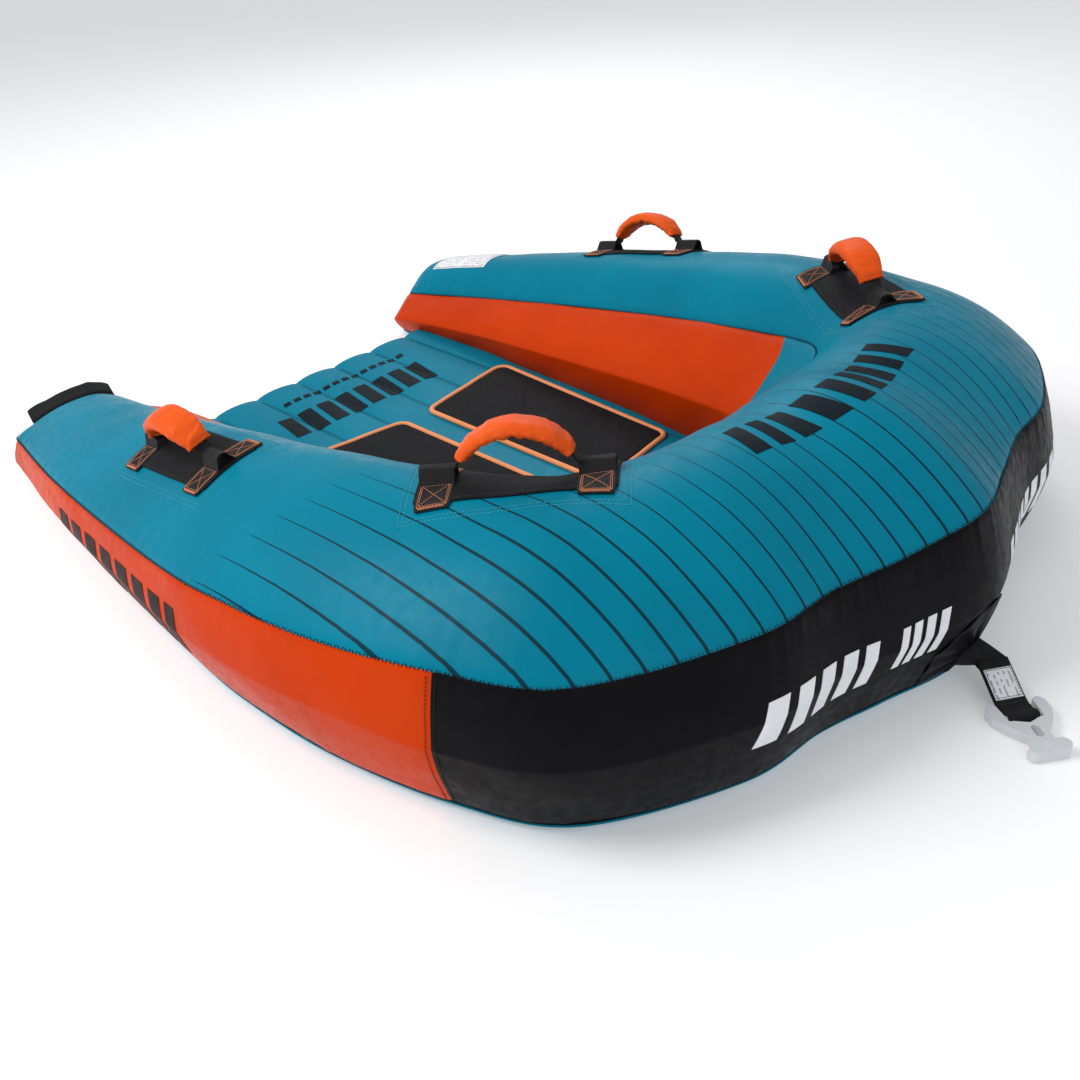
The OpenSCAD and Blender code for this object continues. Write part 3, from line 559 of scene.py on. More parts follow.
def dense(points, count):
    """The same open path with count points on each of its straight runs."""
    return np.concatenate([np.linspace(a, b, count) for a, b in zip(points, points[1:])])


def joined(parts):
    """Several pieces' arrays as one."""
    verts, faces, uv, start = [], [], [], 0
    for v, f, t in parts:
        verts.append(v)
        faces += [[int(i) + start for i in q] for q in f]
        uv.append(t)
        start += len(v)
    return np.concatenate(verts), faces, np.concatenate(uv)


def add(name, arrays, mat, **kw):
    verts, faces, uv = arrays
    return add_mesh(name, verts, faces, mat, uv=uv, **kw)


def both_sides(name, arrays, mat, replaces=(), bodies=("hull", "hull"), edge=0, **kw):
    """The starboard piece and its mirror image. The names in replaces end in the side."""
    made = []
    for side, body, a in (("starboard", bodies[0], arrays), ("port", bodies[1], mirrored(arrays))):
        o = add(f"{name}_{side}", a, mat, body=body, replaces=[f"{n}_{side}" for n in replaces], **kw)
        if edge:
            bevel(o, edge)
        made.append(o)
    return made


def seam_path(kind, s, at, lift):
    """Points on a seam and the way out of the cloth there."""
    f = crown if kind == "crown" else wall
    a, b = f(s, at, lift), f(s, at, lift + 4)
    return a, b - a


def spread(a, b, per_station):
    return np.linspace(a, b, int(round((b - a) * per_station)) + 1)


# ---- Sewn cover ----

U_STEPS = np.concatenate([[1, 0.994, 0.985, 0.972, 0.955, 0.935], np.linspace(0.91, 0, 30),
                          np.linspace(-0.03, -0.87, 22), [-0.90, -0.93, -0.955, -0.975, -0.99, -1]])
SIDE_T = np.concatenate([[0, 0.04, 0.1, 0.18], np.linspace(0.3, 1.85, 14), [1.94, 2, 2.06],
                         np.linspace(2.15, 3.8, 14), [3.88, 3.94, 3.98, 4]])
INNER_T = SIDE_T + 16

top = crown(spread(0.5, LAST, 26)[:, None], U_STEPS[None])
cloth_piece("top_cover_cloth", top, TEAL, replaces=["top_cover"], slot="teal_cloth")
for name, a, b, mat, node, slot in (
        ("side_cloth_starboard", 0, 8, ORANGE, "side_panel_starboard", "orange_cloth"),
        ("bow_cloth", 8, LAST - 8, BLACK, "bow_panel", "black_cloth"),
        ("side_cloth_port", LAST - 8, LAST, ORANGE, "side_panel_port", "orange_cloth")):
    cloth_piece(name, wall(spread(a, b, 30)[:, None], SIDE_T[None]), mat, replaces=[node], slot=slot)

# The front end of the inner orange panels is a curve from the top seam to the floor
join_t = np.where(INNER_T < 18, 7.5 + 0.85 * np.abs(np.sin((INNER_T - 16) / 2 * math.pi / 2)) ** 0.9,
                  8.35 - 1.65 * step(INNER_T, 17.6, 20.4))
rows = np.linspace(0, 1, 220)[:, None]
cloth_piece("inner_cloth_starboard", wall(rows * join_t[None], INNER_T[None]), ORANGE,
            replaces=["inner_panel_starboard"], slot="orange_cloth")
cloth_piece("inner_cloth_port", wall(LAST - join_t[None] * (1 - rows), INNER_T[None]), ORANGE,
            replaces=["inner_panel_port"], slot="orange_cloth")
cloth_piece("inner_bow_cloth", wall(mix(join_t[None], LAST - join_t[None], rows), INNER_T[None]), TEAL_PLAIN,
            replaces=["inner_bow_panel"], slot="teal_cloth")
BASE_T = np.concatenate([[20, 20.08], np.linspace(20.3, 22, 6), [23, 24], np.linspace(24.3, 25.7, 8), [25.9, 26]])
for name, a, b in (("starboard", 0, 8), ("bow", 8, LAST - 8), ("port", LAST - 8, LAST)):
    cloth_piece(f"base_cloth_{name}", wall(spread(a, b, 20)[:, None], BASE_T[None]), TEAL_PLAIN,
                replaces=[f"base_panel_{name}"], slot="teal_cloth")


def tail_end(s, way):
    """The upright cloth that closes a tail, drawn out a little by the air behind it."""
    ring = np.concatenate([wall(s, SIDE_T), crown(s, U_STEPS[1:-1]), wall(s, INNER_T), wall(s, BASE_T[1:-1])])
    centre = ring.mean(0)
    out = np.array([0.29 * way, 0.957, 0]) * 9
    rings = np.stack([centre + (ring - centre) * k + out * (1 - k**4) for k in np.linspace(1, 0.02, 16)])
    n, m = rings.shape[:2]
    uv = (rings.reshape(-1, 3) - centre)[:, [0, 2]] / MM_PER_M
    faces = [list(f) for f in grid_faces(n, m, wrap_m=True, flip=way < 0)]
    faces.append(list(range((n - 1) * m, n * m))[:: 1 if way < 0 else -1])
    return rings.reshape(-1, 3), faces, uv


for name, s, way in (("starboard", 0, 1), ("port", LAST, -1)):
    end = tail_end(s, way)
    o = add(f"tail_cloth_{name}", end, ORANGE, replaces=[f"tail_panel_{name}"], slot="orange_cloth")

# Zip under the valve flap
zip_u = np.linspace(1, -1, 60)
tape = crown(np.linspace(0, 0.5, 8)[:, None], zip_u[None], 0.2)
cloth_piece("zip_tape_cloth", tape, WEBBING, on=("main_bladder",), replaces=["zip_tapes"], slot="black_cloth")
coil_line, coil_out = seam_path("crown", np.full(300, 0.25), np.linspace(0.96, -0.96, 300), 0.6)
add("zip_teeth", stitch_arrays(coil_line, coil_out, 1.9, 6.0, 1.3, 1.6, math.pi / 2), PLASTIC,
    replaces=["zip_coil"], slot="black_cloth")

# Seam stitches
threads = []
for at in (0.997, -0.997):
    s = np.linspace(0.55, LAST - 0.05, 1500)
    threads.append(stitch_arrays(*seam_path("crown", s, at, 0.9), 6.0, 6.2, 1.0, 0.9, 1.0))
add("seam_threads_top", joined(threads), DARK_THREAD, slot="black_cloth")
threads = []
for t in (0.03, 19.97):
    s = np.linspace(0.1, LAST - 0.1, 1500)
    threads.append(stitch_arrays(*seam_path("wall", s, t, 0.8), 6.0, 4.2, 0.9, 0.8))
add("seam_threads_foot", joined(threads), DARK_THREAD, slot="black_cloth")
threads = []
for s in (8.0, LAST - 8.0):
    t = np.linspace(0.1, 3.9, 200)
    for shift in (-0.035, 0.035):
        threads.append(stitch_arrays(*seam_path("wall", s + shift + 0 * t, t, 0.6), 6.0, 4.0, 0.9, 0.8))
add("seam_threads_side", joined(threads), DARK_THREAD, slot="black_cloth")


# ---- Printed bars in place of lettering ----


def bars(name, surface, spans, slant, mat, counts=(5, 16)):
    """Slanted bars; each span is (start, end, low, high) on the surface's own coordinates."""
    parts = []
    for a, b, low, high in spans:
        p, q = np.meshgrid(*(np.linspace(0, 1, c) for c in counts), indexing="ij")
        x, y = mix(a, b, p) + slant * q, mix(low, high, q)
        parts.append(slab_arrays(surface(x, y, 0.85), surface(x, y, 0.15)))
    return add(name, joined(parts), mat, smooth=False)


def span_row(first, count, width, gap, low, high, way=1):
    """The spans of a row of equal bars, which runs forward or back from first."""
    starts = [first + way * k * (width + gap) for k in range(count)]
    return [(min(a, a + way * width), max(a, a + way * width), low, high) for a in starts]


bars("print_bow_top", crown, span_row(10.78, 9, 0.3, 0.19, -0.08, 0.24), 0.14, INK)
bars("print_bow_band", wall, span_row(9.95, 5, 0.2, 0.115, 1.3, 2.45) + span_row(11.76, 4, 0.1, 0.06, 1.45, 2.5)
     + span_row(13.66, 9, 0.18, 0.11, 1.3, 2.45), 0.1, WHITE_INK)
for name, first, way in (("starboard", 3.35, 1), ("port", LAST - 3.35, -1)):
    bars(f"print_side_{name}", wall, span_row(first, 8, 0.17, 0.08, 1.2, 2.85, way), -0.1 * way, INK_ON_ORANGE)


# ---- Floor and seat pads ----

FLOOR_H = 40.0
CHAMBER_PITCH = 109.0


def floor_edge(s):
    """Where the floor meets the inner wall of the hull."""
    c = Section(s)
    z = 0.41 * c.crown
    q = (z - FLOOR_H - 2) / (z - 14)
    return c.place(-c.w, 0 * c.w)[..., :2] + c.out * (c.w * (1 - c.ff) * swell(q) + 3)[..., None]


def chambers(x, y=0.0):
    """How far the floor's cloth rises over its fore-and-aft air chambers; flatter under the seat pads."""
    tall = 2.2 + 4.6 * step(np.asarray(y, float), 430, 540)
    return 0.6 + tall * np.abs(np.cos(x / CHAMBER_PITCH * math.pi)) ** 0.55


def floor_wave(x, y):
    return 0.5 * ripple(x / 60 + y / 90)


def floor_top(x, y, h):
    """Points h above the floor's cloth."""
    return np.stack([x, y, FLOOR_H + chambers(x, y) + 0.3 + h + floor_wave(x, y)], -1)


edge = floor_edge(np.linspace(2.25, BOW, 180))
edge = edge[np.concatenate([[True], np.diff(edge[:, 1]) < 0])]
share = np.linspace(-1, 1, 141)
REAR_Y = float(edge[0, 1])


def floor_rows():
    """Rows of (half width, y, z, share of the rear edge): along the bottom to the stern, round it and back."""
    rows = [(abs(x), y, 0.0, 0.0) for x, y in edge[::-1][::6]]
    width = abs(edge[0, 0])
    for a in np.linspace(0, 180, 13):
        bend = math.radians(a)
        back, up = math.sin(bend), squared(math.cos(bend), 0.4)
        rows.append((width, REAR_Y - 9 + 9 * back**0.6, FLOOR_H / 2 * (1 - up), back**0.6))
    return rows + [(abs(x), min(y, REAR_Y - 10), FLOOR_H, 0.0) for x, y in edge[1:]]


def floor_grid():
    out = []
    for width, y, z, rear in floor_rows():
        x = share * width
        c, top = chambers(x, y), z / FLOOR_H
        edge_fall = 5 * np.exp(-(width - np.abs(x)) / 9)
        up = np.maximum(z + top * (c - edge_fall + floor_wave(x, y)), 0)
        out.append(np.stack([x, y + 1.1 * c * rear, up], -1))
    return np.array(out)


floor = floor_grid()
cloth_piece("floor_cloth", floor, TEAL_PLAIN, flip=True, slot="teal_cloth", on=("floor_bladder",),
            replaces=["floor_top_panel", "floor_edge_band", "floor_bottom_panel"])
weld = []
y = np.linspace(REAR_Y - 24, -150, 120)
for k in range(-3, 3):
    for dx in (-2.5, 2.5):
        path = floor_top(np.full_like(y, (k + 0.5) * CHAMBER_PITCH + dx), y, 0.2)
        weld.append(stitch_arrays(path, upright(path), 6, 4.2, 0.9, 0.6))
add("floor_threads", joined(weld), DARK_THREAD, slot="teal_cloth")

PAD_CORNERS = np.array([[60, 410], [272, 442], [240, -17], [60, -39]], float)


def rounded_loop(corners, radius, per_corner=12, per_side=14):
    """A closed outline round circles at the corners, anticlockwise."""
    n = len(corners)
    area = sum(corners[i][0] * corners[(i + 1) % n][1] - corners[(i + 1) % n][0] * corners[i][1]
               for i in range(n))
    c = corners if area > 0 else corners[::-1]
    pts = []
    for i in range(n):
        before, here, after = c[i - 1], c[i], c[(i + 1) % n]
        d0, d1 = here - before, after - here
        a0, a1 = math.atan2(-d0[0], d0[1]), math.atan2(-d1[0], d1[1])
        if a1 < a0:
            a1 += 2 * math.pi
        arc = [here + radius * np.array([math.cos(a), math.sin(a)]) for a in np.linspace(a0, a1, per_corner)]
        pts += arc
        b0 = arc[-1]
        b1 = after + radius * np.array([math.cos(a1), math.sin(a1)])
        pts += [mix(b0, b1, f) for f in np.linspace(0, 1, per_side + 2)[1:-1]]
    return np.array(pts)


def seat_z(x):
    return FLOOR_H + 0.4 + 0.5 * chambers(x)


def pad_arrays():
    """A seat pad on the port side: crowned, and pulled in along its seam."""
    loop = rounded_loop(PAD_CORNERS, 19.0)
    centre = loop.mean(0)
    rings, heights = [], []
    turn = np.linspace(0, 2 * math.pi, len(loop), endpoint=False)
    for k, h in ((1.0, 0.5), (1.0, 4.0), (0.997, 6.0), (0.985, 7.2), (0.96, 8.0), (0.93, 8.5), (0.88, 8.9),
                 (0.8, 9.2), (0.7, 9.5), (0.6, 9.7), (0.5, 9.9), (0.35, 10.1), (0.2, 10.2), (0.06, 10.2)):
        ring = centre + (loop - centre) * k
        drawn = 0.45 * math.exp(-(((k - 0.93) / 0.06) ** 2)) * ripple(turn * 31)
        drawn += 0.3 * ripple(ring[:, 1] / 41 + 3 * k)
        rings.append(np.concatenate([ring, (seat_z(ring[:, 0]) + h + drawn * (k < 0.99))[:, None]], 1))
    rings = np.array(rings)
    n, m = rings.shape[:2]
    verts = rings.reshape(-1, 3)
    faces = [list(f) for f in grid_faces(n, m, wrap_m=True)]
    faces = [f[::-1] for f in faces] + [list(range((n - 1) * m, n * m))]
    return verts, faces, verts[:, :2] / MM_PER_M


def piping_arrays():
    """The round cord sewn along a pad's edge."""
    loop = rounded_loop(PAD_CORNERS, 24.5)
    back, ahead = np.roll(loop, 1, 0), np.roll(loop, -1, 0)
    t = (ahead - back) / np.linalg.norm(ahead - back, axis=1, keepdims=True)
    out = np.stack([t[:, 1], -t[:, 0]], -1)
    rings = []
    for p, o in zip(loop, out):
        ring = []
        for a in np.linspace(0, 2 * math.pi, 14, endpoint=False):
            r, h = 5.6 * math.cos(a), 5.0 * math.sin(a)
            q = p + o * r
            ring.append([q[0], q[1], max(float(seat_z(q[0])) + 4.6 + h, float(seat_z(q[0])))])
        rings.append(ring)
    return tube_arrays(np.array(rings), closed=True)


pad = mirrored(pad_arrays())
for o in both_sides("seat_cushion", pad, PAD, replaces=["seat_pad"], slot="pad_foam"):
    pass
both_sides("seat_trim", mirrored(piping_arrays()), PIPING, replaces=["seat_piping"], slot="piping")
loop = rounded_loop(PAD_CORNERS, 15.5)
loop = np.concatenate([loop, loop[:1]])
path = np.concatenate([loop, (seat_z(loop[:, 0]) + 8.0)[:, None]], 1)
both_sides("seat_threads", mirrored(stitch_arrays(path, upright(path), 6, 4, 0.9, 0.7)), GREY_THREAD,
           slot="pad_foam")

bars("print_floor", floor_top, span_row(-222, 8, 36, 15, 550, 645), 16, INK, (7, 4))
bars("print_floor_small", floor_top, span_row(-150, 13, 18, 9, 694, 708), 4, INK, (5, 3))


# ---- Handles ----

REAR_TABS, FRONT_TABS = ((3.89, 0.3), (4.68, 0.3)), ((7.33, -0.01), (9.2, -0.27))
TAB_PITCH, TAB_W, TAB_L, KNUCKLE_W, ROLL_Z = 220.0, 50.0, 136.0, 112.0, 17.0
GRIP_TOP, GRIP_W, GRIP_T, ARCH_HALF = 84.0, 56.0, 24.0, 86.0
CAD_GRIP_T = 22.0
RISE = GRIP_TOP - CAD_GRIP_T / 2 - ROLL_Z
ARC_R = (ARCH_HALF**2 + RISE**2) / (2 * RISE)
ARC_Z = ROLL_Z + RISE - ARC_R
ARC_END = math.asin(ARCH_HALF / ARC_R)
GRIP_END = ARC_END - math.radians(12)


class HandleFrame:
    """The place of a starboard handle: its middle, the ways along, across and up."""

    def __init__(self, tabs):
        self.tabs = np.array(tabs)
        a, b = (plain_crown(np.array(s), np.array(u)) for s, u in tabs)
        e, up = 0.02, 0
        for s, u in tabs:
            s, u = np.array(s), np.array(u)
            n = np.cross(plain_crown(s + e, u) - plain_crown(s - e, u),
                         plain_crown(s, u - e) - plain_crown(s, u + e))
            up = up + n / np.linalg.norm(n)
        self.o, self.x = (a + b) / 2, (b - a) / np.linalg.norm(b - a)
        z = up - self.x * (up @ self.x)
        self.z = z / np.linalg.norm(z)
        self.y = np.cross(self.z, self.x)
        self.m = np.stack([self.x, self.y, self.z])

    def world(self, p):
        return self.o + p @ self.m

    def cover(self, x, y, lift):
        """Points on the sewn cover under x, y of this frame, raised by lift."""
        x, y = np.broadcast_arrays(np.asarray(x, float), np.asarray(y, float))
        s, u = (np.full(x.shape, v) for v in self.tabs.mean(0))
        for _ in range(9):
            e = 0.01
            p, ps, pu = ((crown(s + a, u + b) - self.o) @ self.m.T for a, b in ((0, 0), (e, 0), (0, e)))
            ds, du = (ps - p) / e, (pu - p) / e
            mx, my = x - p[..., 0], y - p[..., 1]
            det = ds[..., 0] * du[..., 1] - ds[..., 1] * du[..., 0]
            s = s + np.clip((mx * du[..., 1] - my * du[..., 0]) / det, -0.5, 0.5)
            u = u + np.clip((my * ds[..., 0] - mx * ds[..., 1]) / det, -0.3, 0.3)
        return crown(s, u, lift)


def round_rect(half_x, half_y, r):
    """Corner-rounded grid lines for a sheet: x and y of a grid whose corners pull in."""
    gx, gy = np.meshgrid(np.linspace(-1, 1, 25), np.linspace(-1, 1, 17), indexing="ij")
    x, y = gx * half_x, gy * half_y
    over_x, over_y = np.maximum(np.abs(x) - (half_x - r), 0), np.maximum(np.abs(y) - (half_y - r), 0)
    length = np.hypot(over_x, over_y)
    limit = np.where(length > 1e-6, np.maximum(over_x, over_y) / np.maximum(length, 1e-6), 1)
    x = np.sign(x) * (np.minimum(np.abs(x), half_x - r) + over_x * limit)
    y = np.sign(y) * (np.minimum(np.abs(y), half_y - r) + over_y * limit)
    return x, y


def on_cover(h, pts, lift, closed=True):
    """A path drawn on the cover under a handle, and the way out of the cloth there."""
    p = np.array(pts + pts[:1] if closed else pts, float)
    seg = np.linalg.norm(np.diff(p, axis=0), axis=1)
    d = np.concatenate([[0], np.cumsum(seg)])
    at = np.linspace(0, d[-1], int(d[-1] / 4))
    x, y = np.interp(at, d, p[:, 0]), np.interp(at, d, p[:, 1])
    a, b = h.cover(x, y, lift), h.cover(x, y, lift + 4)
    return a, b - a


def grip_section(a, n=56):
    """The padded grip's section at angle a along its arch: a flat top over a folded underside."""
    q = abs(a) / GRIP_END
    t = GRIP_T / 2 * (1 - 0.22 * q**2 - 0.25 * step(q, 0.88, 1.0))
    w = GRIP_W / 2 * (1 - 0.26 * step(q, 0.5, 1.0))
    out = []
    for b in np.linspace(0, 2 * math.pi, n, endpoint=False):
        cx, sy = math.cos(b), math.sin(b)
        h = squared(cx, 0.6)
        x, y = t * h, w * squared(sy, 0.55) * (1 - 0.07 * (h + 0.3) ** 2)
        under, flank = max(0.0, -h), math.exp(-(((h + 0.3) / 0.35) ** 2))
        fold = under * (1.7 * float(creased(a * 19 + 1.1 * sy)) + 0.8 * float(ripple(a * 43 + 2.0 * sy)))
        fold += under * (3.2 * math.exp(-((a / 0.045) ** 2)) - 2.0 * math.exp(-(((abs(a) - 0.12) / 0.05) ** 2)))
        fold += 2.4 * step(q, 0.72, 0.95) * under * math.cos(5 * b)
        top = max(0.0, h) * (0.8 * float(ripple(a * 9 + 3)) + 1.2 * q * float(ripple(a * 17 + 2 * sy)))
        lip = flank * (0.9 + 0.9 * float(ripple(a * 27 + (2.1 if sy > 0 else 0.4))))
        out.append([x + fold + top, y + math.copysign(lip, sy) * (abs(sy) > 0.3)])
    return out


def grip_arrays():
    rings = []
    for a in np.linspace(-GRIP_END, GRIP_END, 97):
        ring = [[(ARC_R + r) * math.sin(a), y, ARC_Z + (ARC_R + r) * math.cos(a)] for r, y in grip_section(a)]
        rings.append(ring)
    rings = np.array(rings)
    caps = []
    for j, way in ((0, 1), (-1, -1)):
        c = rings[j].mean(0)
        caps.append([c + (rings[j] - c) * k for k in (0.5, 0.9)])
    return tube_arrays(np.concatenate([np.array(caps[0]), rings, np.array(caps[1])[::-1]]))


def strap_ends():
    """The grip's webbing where it leaves the sleeve and turns into the tabs."""
    parts = []
    for side in (-1, 1):
        pts = []
        for a in np.linspace(ARC_END - 0.30, ARC_END - 0.06, 6):
            pts.append([ARC_R * math.sin(a), ARC_Z + ARC_R * math.cos(a), 13.5, 2.0])
        x0, z0 = pts[-1][:2]
        for f in np.linspace(0.15, 1, 8):
            bend = math.sin(f * math.pi / 2)
            pts.append([x0 + 12 * f, z0 + (ROLL_Z - z0) * bend, 13.5 + (4.6 - 13.5) * f, 2.0 + 2.4 * f])
        for x in (x0 + 20, x0 + 34, 128):
            pts.append([x, ROLL_Z, 4.6, 4.4])
        pts = np.array(pts)
        d = np.gradient(pts[:, :2], axis=0)
        d /= np.linalg.norm(d, axis=1, keepdims=True)
        rings = []
        for (x, z, w, t), (dx, dz) in zip(pts, d):
            ring = []
            for b in np.linspace(0, 2 * math.pi, 16, endpoint=False):
                cx, sy = math.cos(b), math.sin(b)
                r, y = t * squared(cx, 0.7), w * squared(sy, 0.7)
                ring.append([side * (x - dz * r), y, z + dx * r])
            rings.append(ring)
        rings = np.array(rings)
        parts.append(tube_arrays(rings if side > 0 else rings[::-1]))
    return joined(parts)


def tab_arrays(h, side):
    """One webbing tab, flat at both ends, which arches over the rolled webbing in its middle."""
    gx, gy = round_rect(TAB_W / 2, TAB_L / 2, 5)
    base = h.cover(gx + side * TAB_PITCH / 2, gy, 4.4)
    local = (base - h.o) @ h.m.T
    hump = step(19 - np.abs(gy), 0, 13.5)
    local[..., 2] = mix(local[..., 2], np.maximum(ROLL_Z + 8.2, local[..., 2]), hump)
    up = h.world(local)
    return slab_arrays(up, up - h.z * 2.3)


def box_corners(cx, cy, half_x, half_y):
    return [(cx + i * half_x, cy + j * half_y) for i, j in ((-1, -1), (1, -1), (1, 1), (-1, 1))]


def xbox(cx, cy, half_x, half_y):
    """A boxed cross of stitching."""
    a, b, c, d = box_corners(cx, cy, half_x, half_y)
    return [([a, b, c, d], True), ([a, c], False), ([b, d], False)]


for tabs, place_ in ((REAR_TABS, "rear"), (FRONT_TABS, "front")):
    h = HandleFrame(tabs)
    names = (f"handle_{place_}_starboard", f"handle_{place_}_port")
    gx, gy = round_rect(TAB_PITCH / 2 + TAB_W / 2 + 4, KNUCKLE_W / 2, 8)
    pad = slab_arrays(h.cover(gx, gy, 3.6), h.cover(gx, gy, 0.3))
    for o in both_sides(f"knuckle_guard_{place_}", pad, RUBBER, replaces=[f"knuckle_pad_{place_}"], edge=1.2,
                        slot="neoprene"):
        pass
    tabs_made = joined([tab_arrays(h, side) for side in (-1, 1)])
    both_sides(f"tab_webbing_{place_}", tabs_made, WEBBING, replaces=[f"tabs_{place_}"], edge=0.6,
               slot="black_webbing")
    grip = grip_arrays()
    grip = (h.world(grip[0]), grip[1], grip[2])
    for o in both_sides(f"grip_sleeve_{place_}", grip, GRIP, replaces=[f"sleeve_{place_}"], bodies=names,
                        slot="orange_cloth"):
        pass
    ends = strap_ends()
    both_sides(f"grip_strap_{place_}", (h.world(ends[0]), ends[1], ends[2]), WEBBING,
               replaces=[f"webbing_{place_}"], bodies=names, slot="black_webbing")
    parts = []
    for side in (-1, 1):
        for cy in (-40, 40):
            for pts, closed in xbox(side * TAB_PITCH / 2, cy, 21, 23):
                parts.append(stitch_arrays(*on_cover(h, pts, 4.6, closed), 4.4, 3.5, 0.9, 0.8))
            inner_box = box_corners(side * TAB_PITCH / 2, cy, 18.5, 20.5)
            parts.append(stitch_arrays(*on_cover(h, inner_box, 4.6), 4.4, 3.5, 0.9, 0.8))
            a, b = side * TAB_PITCH / 2 - 18.5, side * TAB_PITCH / 2 + 18.5
            tack = cy + 24.8 * (1 if cy > 0 else -1)
            parts.append(stitch_arrays(*on_cover(h, [(a, tack), (b, tack)], 4.5, False), 1.3, 4.2, 0.8, 0.9,
                                       math.pi / 2 - 0.15))
    both_sides(f"tab_threads_{place_}", joined(parts), ORANGE_THREAD, slot="orange_cloth")
    parts = []
    for grow in (14, 21):
        hx, hy = TAB_PITCH / 2 + TAB_W / 2 + grow, TAB_L / 2 + grow - 4
        parts.append(stitch_arrays(*on_cover(h, box_corners(0, 0, hx, hy), 0.3), 5.5, 4.2, 0.9, 0.5))
    both_sides(f"patch_threads_{place_}", joined(parts), PALE_THREAD, slot="teal_cloth")
    hx, hy = TAB_PITCH / 2 + TAB_W / 2 - 1, KNUCKLE_W / 2 - 5
    edge_path = on_cover(h, box_corners(0, 0, hx, hy), 3.4)
    both_sides(f"guard_threads_{place_}", stitch_arrays(*edge_path, 5, 3.8, 0.9, 0.6), GREY_THREAD, slot="neoprene")


# ---- Valve flap and care label ----

FLAP_LIFT, FLAP_L = 9.0, 45.0
k = np.linspace(0.0, 1.0, 34)
flap_s, flap_u = mix(0.45, 1.4, k), mix(0.8, -0.62, k)
sec = Section(np.array(1.0))
rear = np.array([sec.out[1], -sec.out[0], 0])
rear = rear if rear[1] > 0 else -rear
line = plain_crown(flap_s, flap_u) + [0, 0, FLAP_LIFT]
tip = np.minimum(k, 1 - k)
up = np.array([0, 0, 1.0])
flap_rows, flap_top = [], []
for drop in (3.0, 1.4):  # the sewn edge turns down, so no light shows under the flap
    flap_rows.append(line + rear * 1.2 - up * drop)
    flap_top.append(line - up * drop)
for d in np.linspace(0.04, 1, 12):
    inset = (8 if d > 0.5 else 4.8) * (1 - np.sqrt(np.clip(tip / 0.08, 0, 1)))
    reach = mix(d * FLAP_L, 22, np.clip(inset / 20, 0, 1))
    curl = 3.5 * d * d + 1.2 * ripple(k * 9 + 2) * d + 2.5 * d * np.exp(-tip / 0.05)
    flap_rows.append(line + rear * reach[:, None] + up * curl[:, None])
    flap_top.append(flap_rows[-1] + up * mix(1.2, 3.6, min(d / 0.25, 1)))
flap_rows, flap_top = np.array(flap_rows), np.array(flap_top)
o = add("valve_flap_rubber", slab_arrays(flap_top[::-1], flap_rows[::-1]), RUBBER, body="flap",
        replaces=["valve_flap"], slot="neoprene")
bevel(o, 1.4)
edge_line = np.concatenate([flap_top[4, 2:-2], flap_top[4:-2, -3], flap_top[-3, 2:-2][::-1],
                            flap_top[4:-2, 2][::-1]])
add("flap_threads", stitch_arrays(edge_line, upright(edge_line), 5, 3.8, 1.0, 0.6), GREY_THREAD, body="flap",
    slot="neoprene")
hem = np.stack([plain_crown(flap_s, flap_u) + [0, 0, z] - rear * back for z, back in
                ((0.8, 15), (1.6, 12.5), (3.6, 10), (6.2, 8), (8.4, 7), (9.6, 6.6))])
o = add("flap_hem", slab_arrays(hem[::-1] + [0, 0, 0.8], hem[::-1] - [0, 0, 1.2]), RUBBER, slot="neoprene")

label_s, label_u = np.meshgrid(LAST - np.linspace(2.75, 1.95, 14), np.linspace(0.34, -0.40, 20), indexing="ij")
label = slab_arrays(crown(label_s, label_u, 1.6), crown(label_s, label_u, 0.2))
o = bevel(add("care_label_cloth", label, LABEL, replaces=["care_label"], slot="label"), 0.3)
crown(label_s, label_u, 1.6)
near, far = LAST - 2.72, LAST - 1.98
s, u = dense([(near, 0.31), (far, 0.31), (far, -0.37), (near, -0.37), (near, 0.31)], 30).T
add("care_label_threads", stitch_arrays(crown(s, u, 1.7), crown(s, u, 6) - crown(s, u, 2), 4.5, 3.4, 0.9, 0.5),
    GREY_THREAD, slot="label")


# ---- Tow strap ----

YAW = math.radians(35)
AHEAD = np.array([-math.sin(YAW), -math.cos(YAW), 0])
ACROSS = np.array([-math.cos(YAW), math.sin(YAW), 0])
ROOT = np.array([0, -850.0, 40.0])
bar_joint = [j for j in frame["joints"] if j["name"] == "connector_turn"][0]
BAR = np.array(bar_joint["pos_m"]) * MM_PER_M
REACH = float((BAR - ROOT) @ AHEAD)
STRAP_T, STRAP_W = 2.7, 49.0


def side_view(f, z):
    """A point f ahead of the strap's root and z above the ground."""
    return ROOT + AHEAD * f + np.array([0, 0, z - ROOT[2]])


def strap_path():
    """The strap is one length of webbing: round the root, out on top, round the bar and back."""
    pts = []
    for a in np.linspace(255, 75, 9):
        pts.append((4 * math.cos(math.radians(a)), 40 + 4 * math.sin(math.radians(a))))
    slope = [(8, 40.6), (20, 35.0), (34, 27.6), (48, 20.2), (58, 15.3), (66, 12.6), (REACH - 12, 11.9)]
    pts += slope
    for a in np.linspace(115, -115, 17):
        pts.append((REACH + 8 * math.cos(math.radians(a)), 10 + 8 * math.sin(math.radians(a))))
    pts += [(x, z - 3.1) for x, z in slope[::-1]]
    return np.array(pts)


def band_arrays(path2, width, thick):
    """A closed loop of webbing along a path of (f, z) points."""
    d = np.roll(path2, -1, 0) - np.roll(path2, 1, 0)
    d /= np.linalg.norm(d, axis=1, keepdims=True)
    rings = []
    for (f, z), (df, dz) in zip(path2, d):
        ring = []
        for b in np.linspace(0, 2 * math.pi, 20, endpoint=False):
            cx, sy = math.cos(b), math.sin(b)
            t = thick / 2 * squared(cx, 0.5)
            w = width / 2 * squared(sy, 0.35)
            ring.append(side_view(f - dz * t, z + df * t) + ACROSS * w)
        rings.append(ring)
    return tube_arrays(np.array(rings), closed=True)


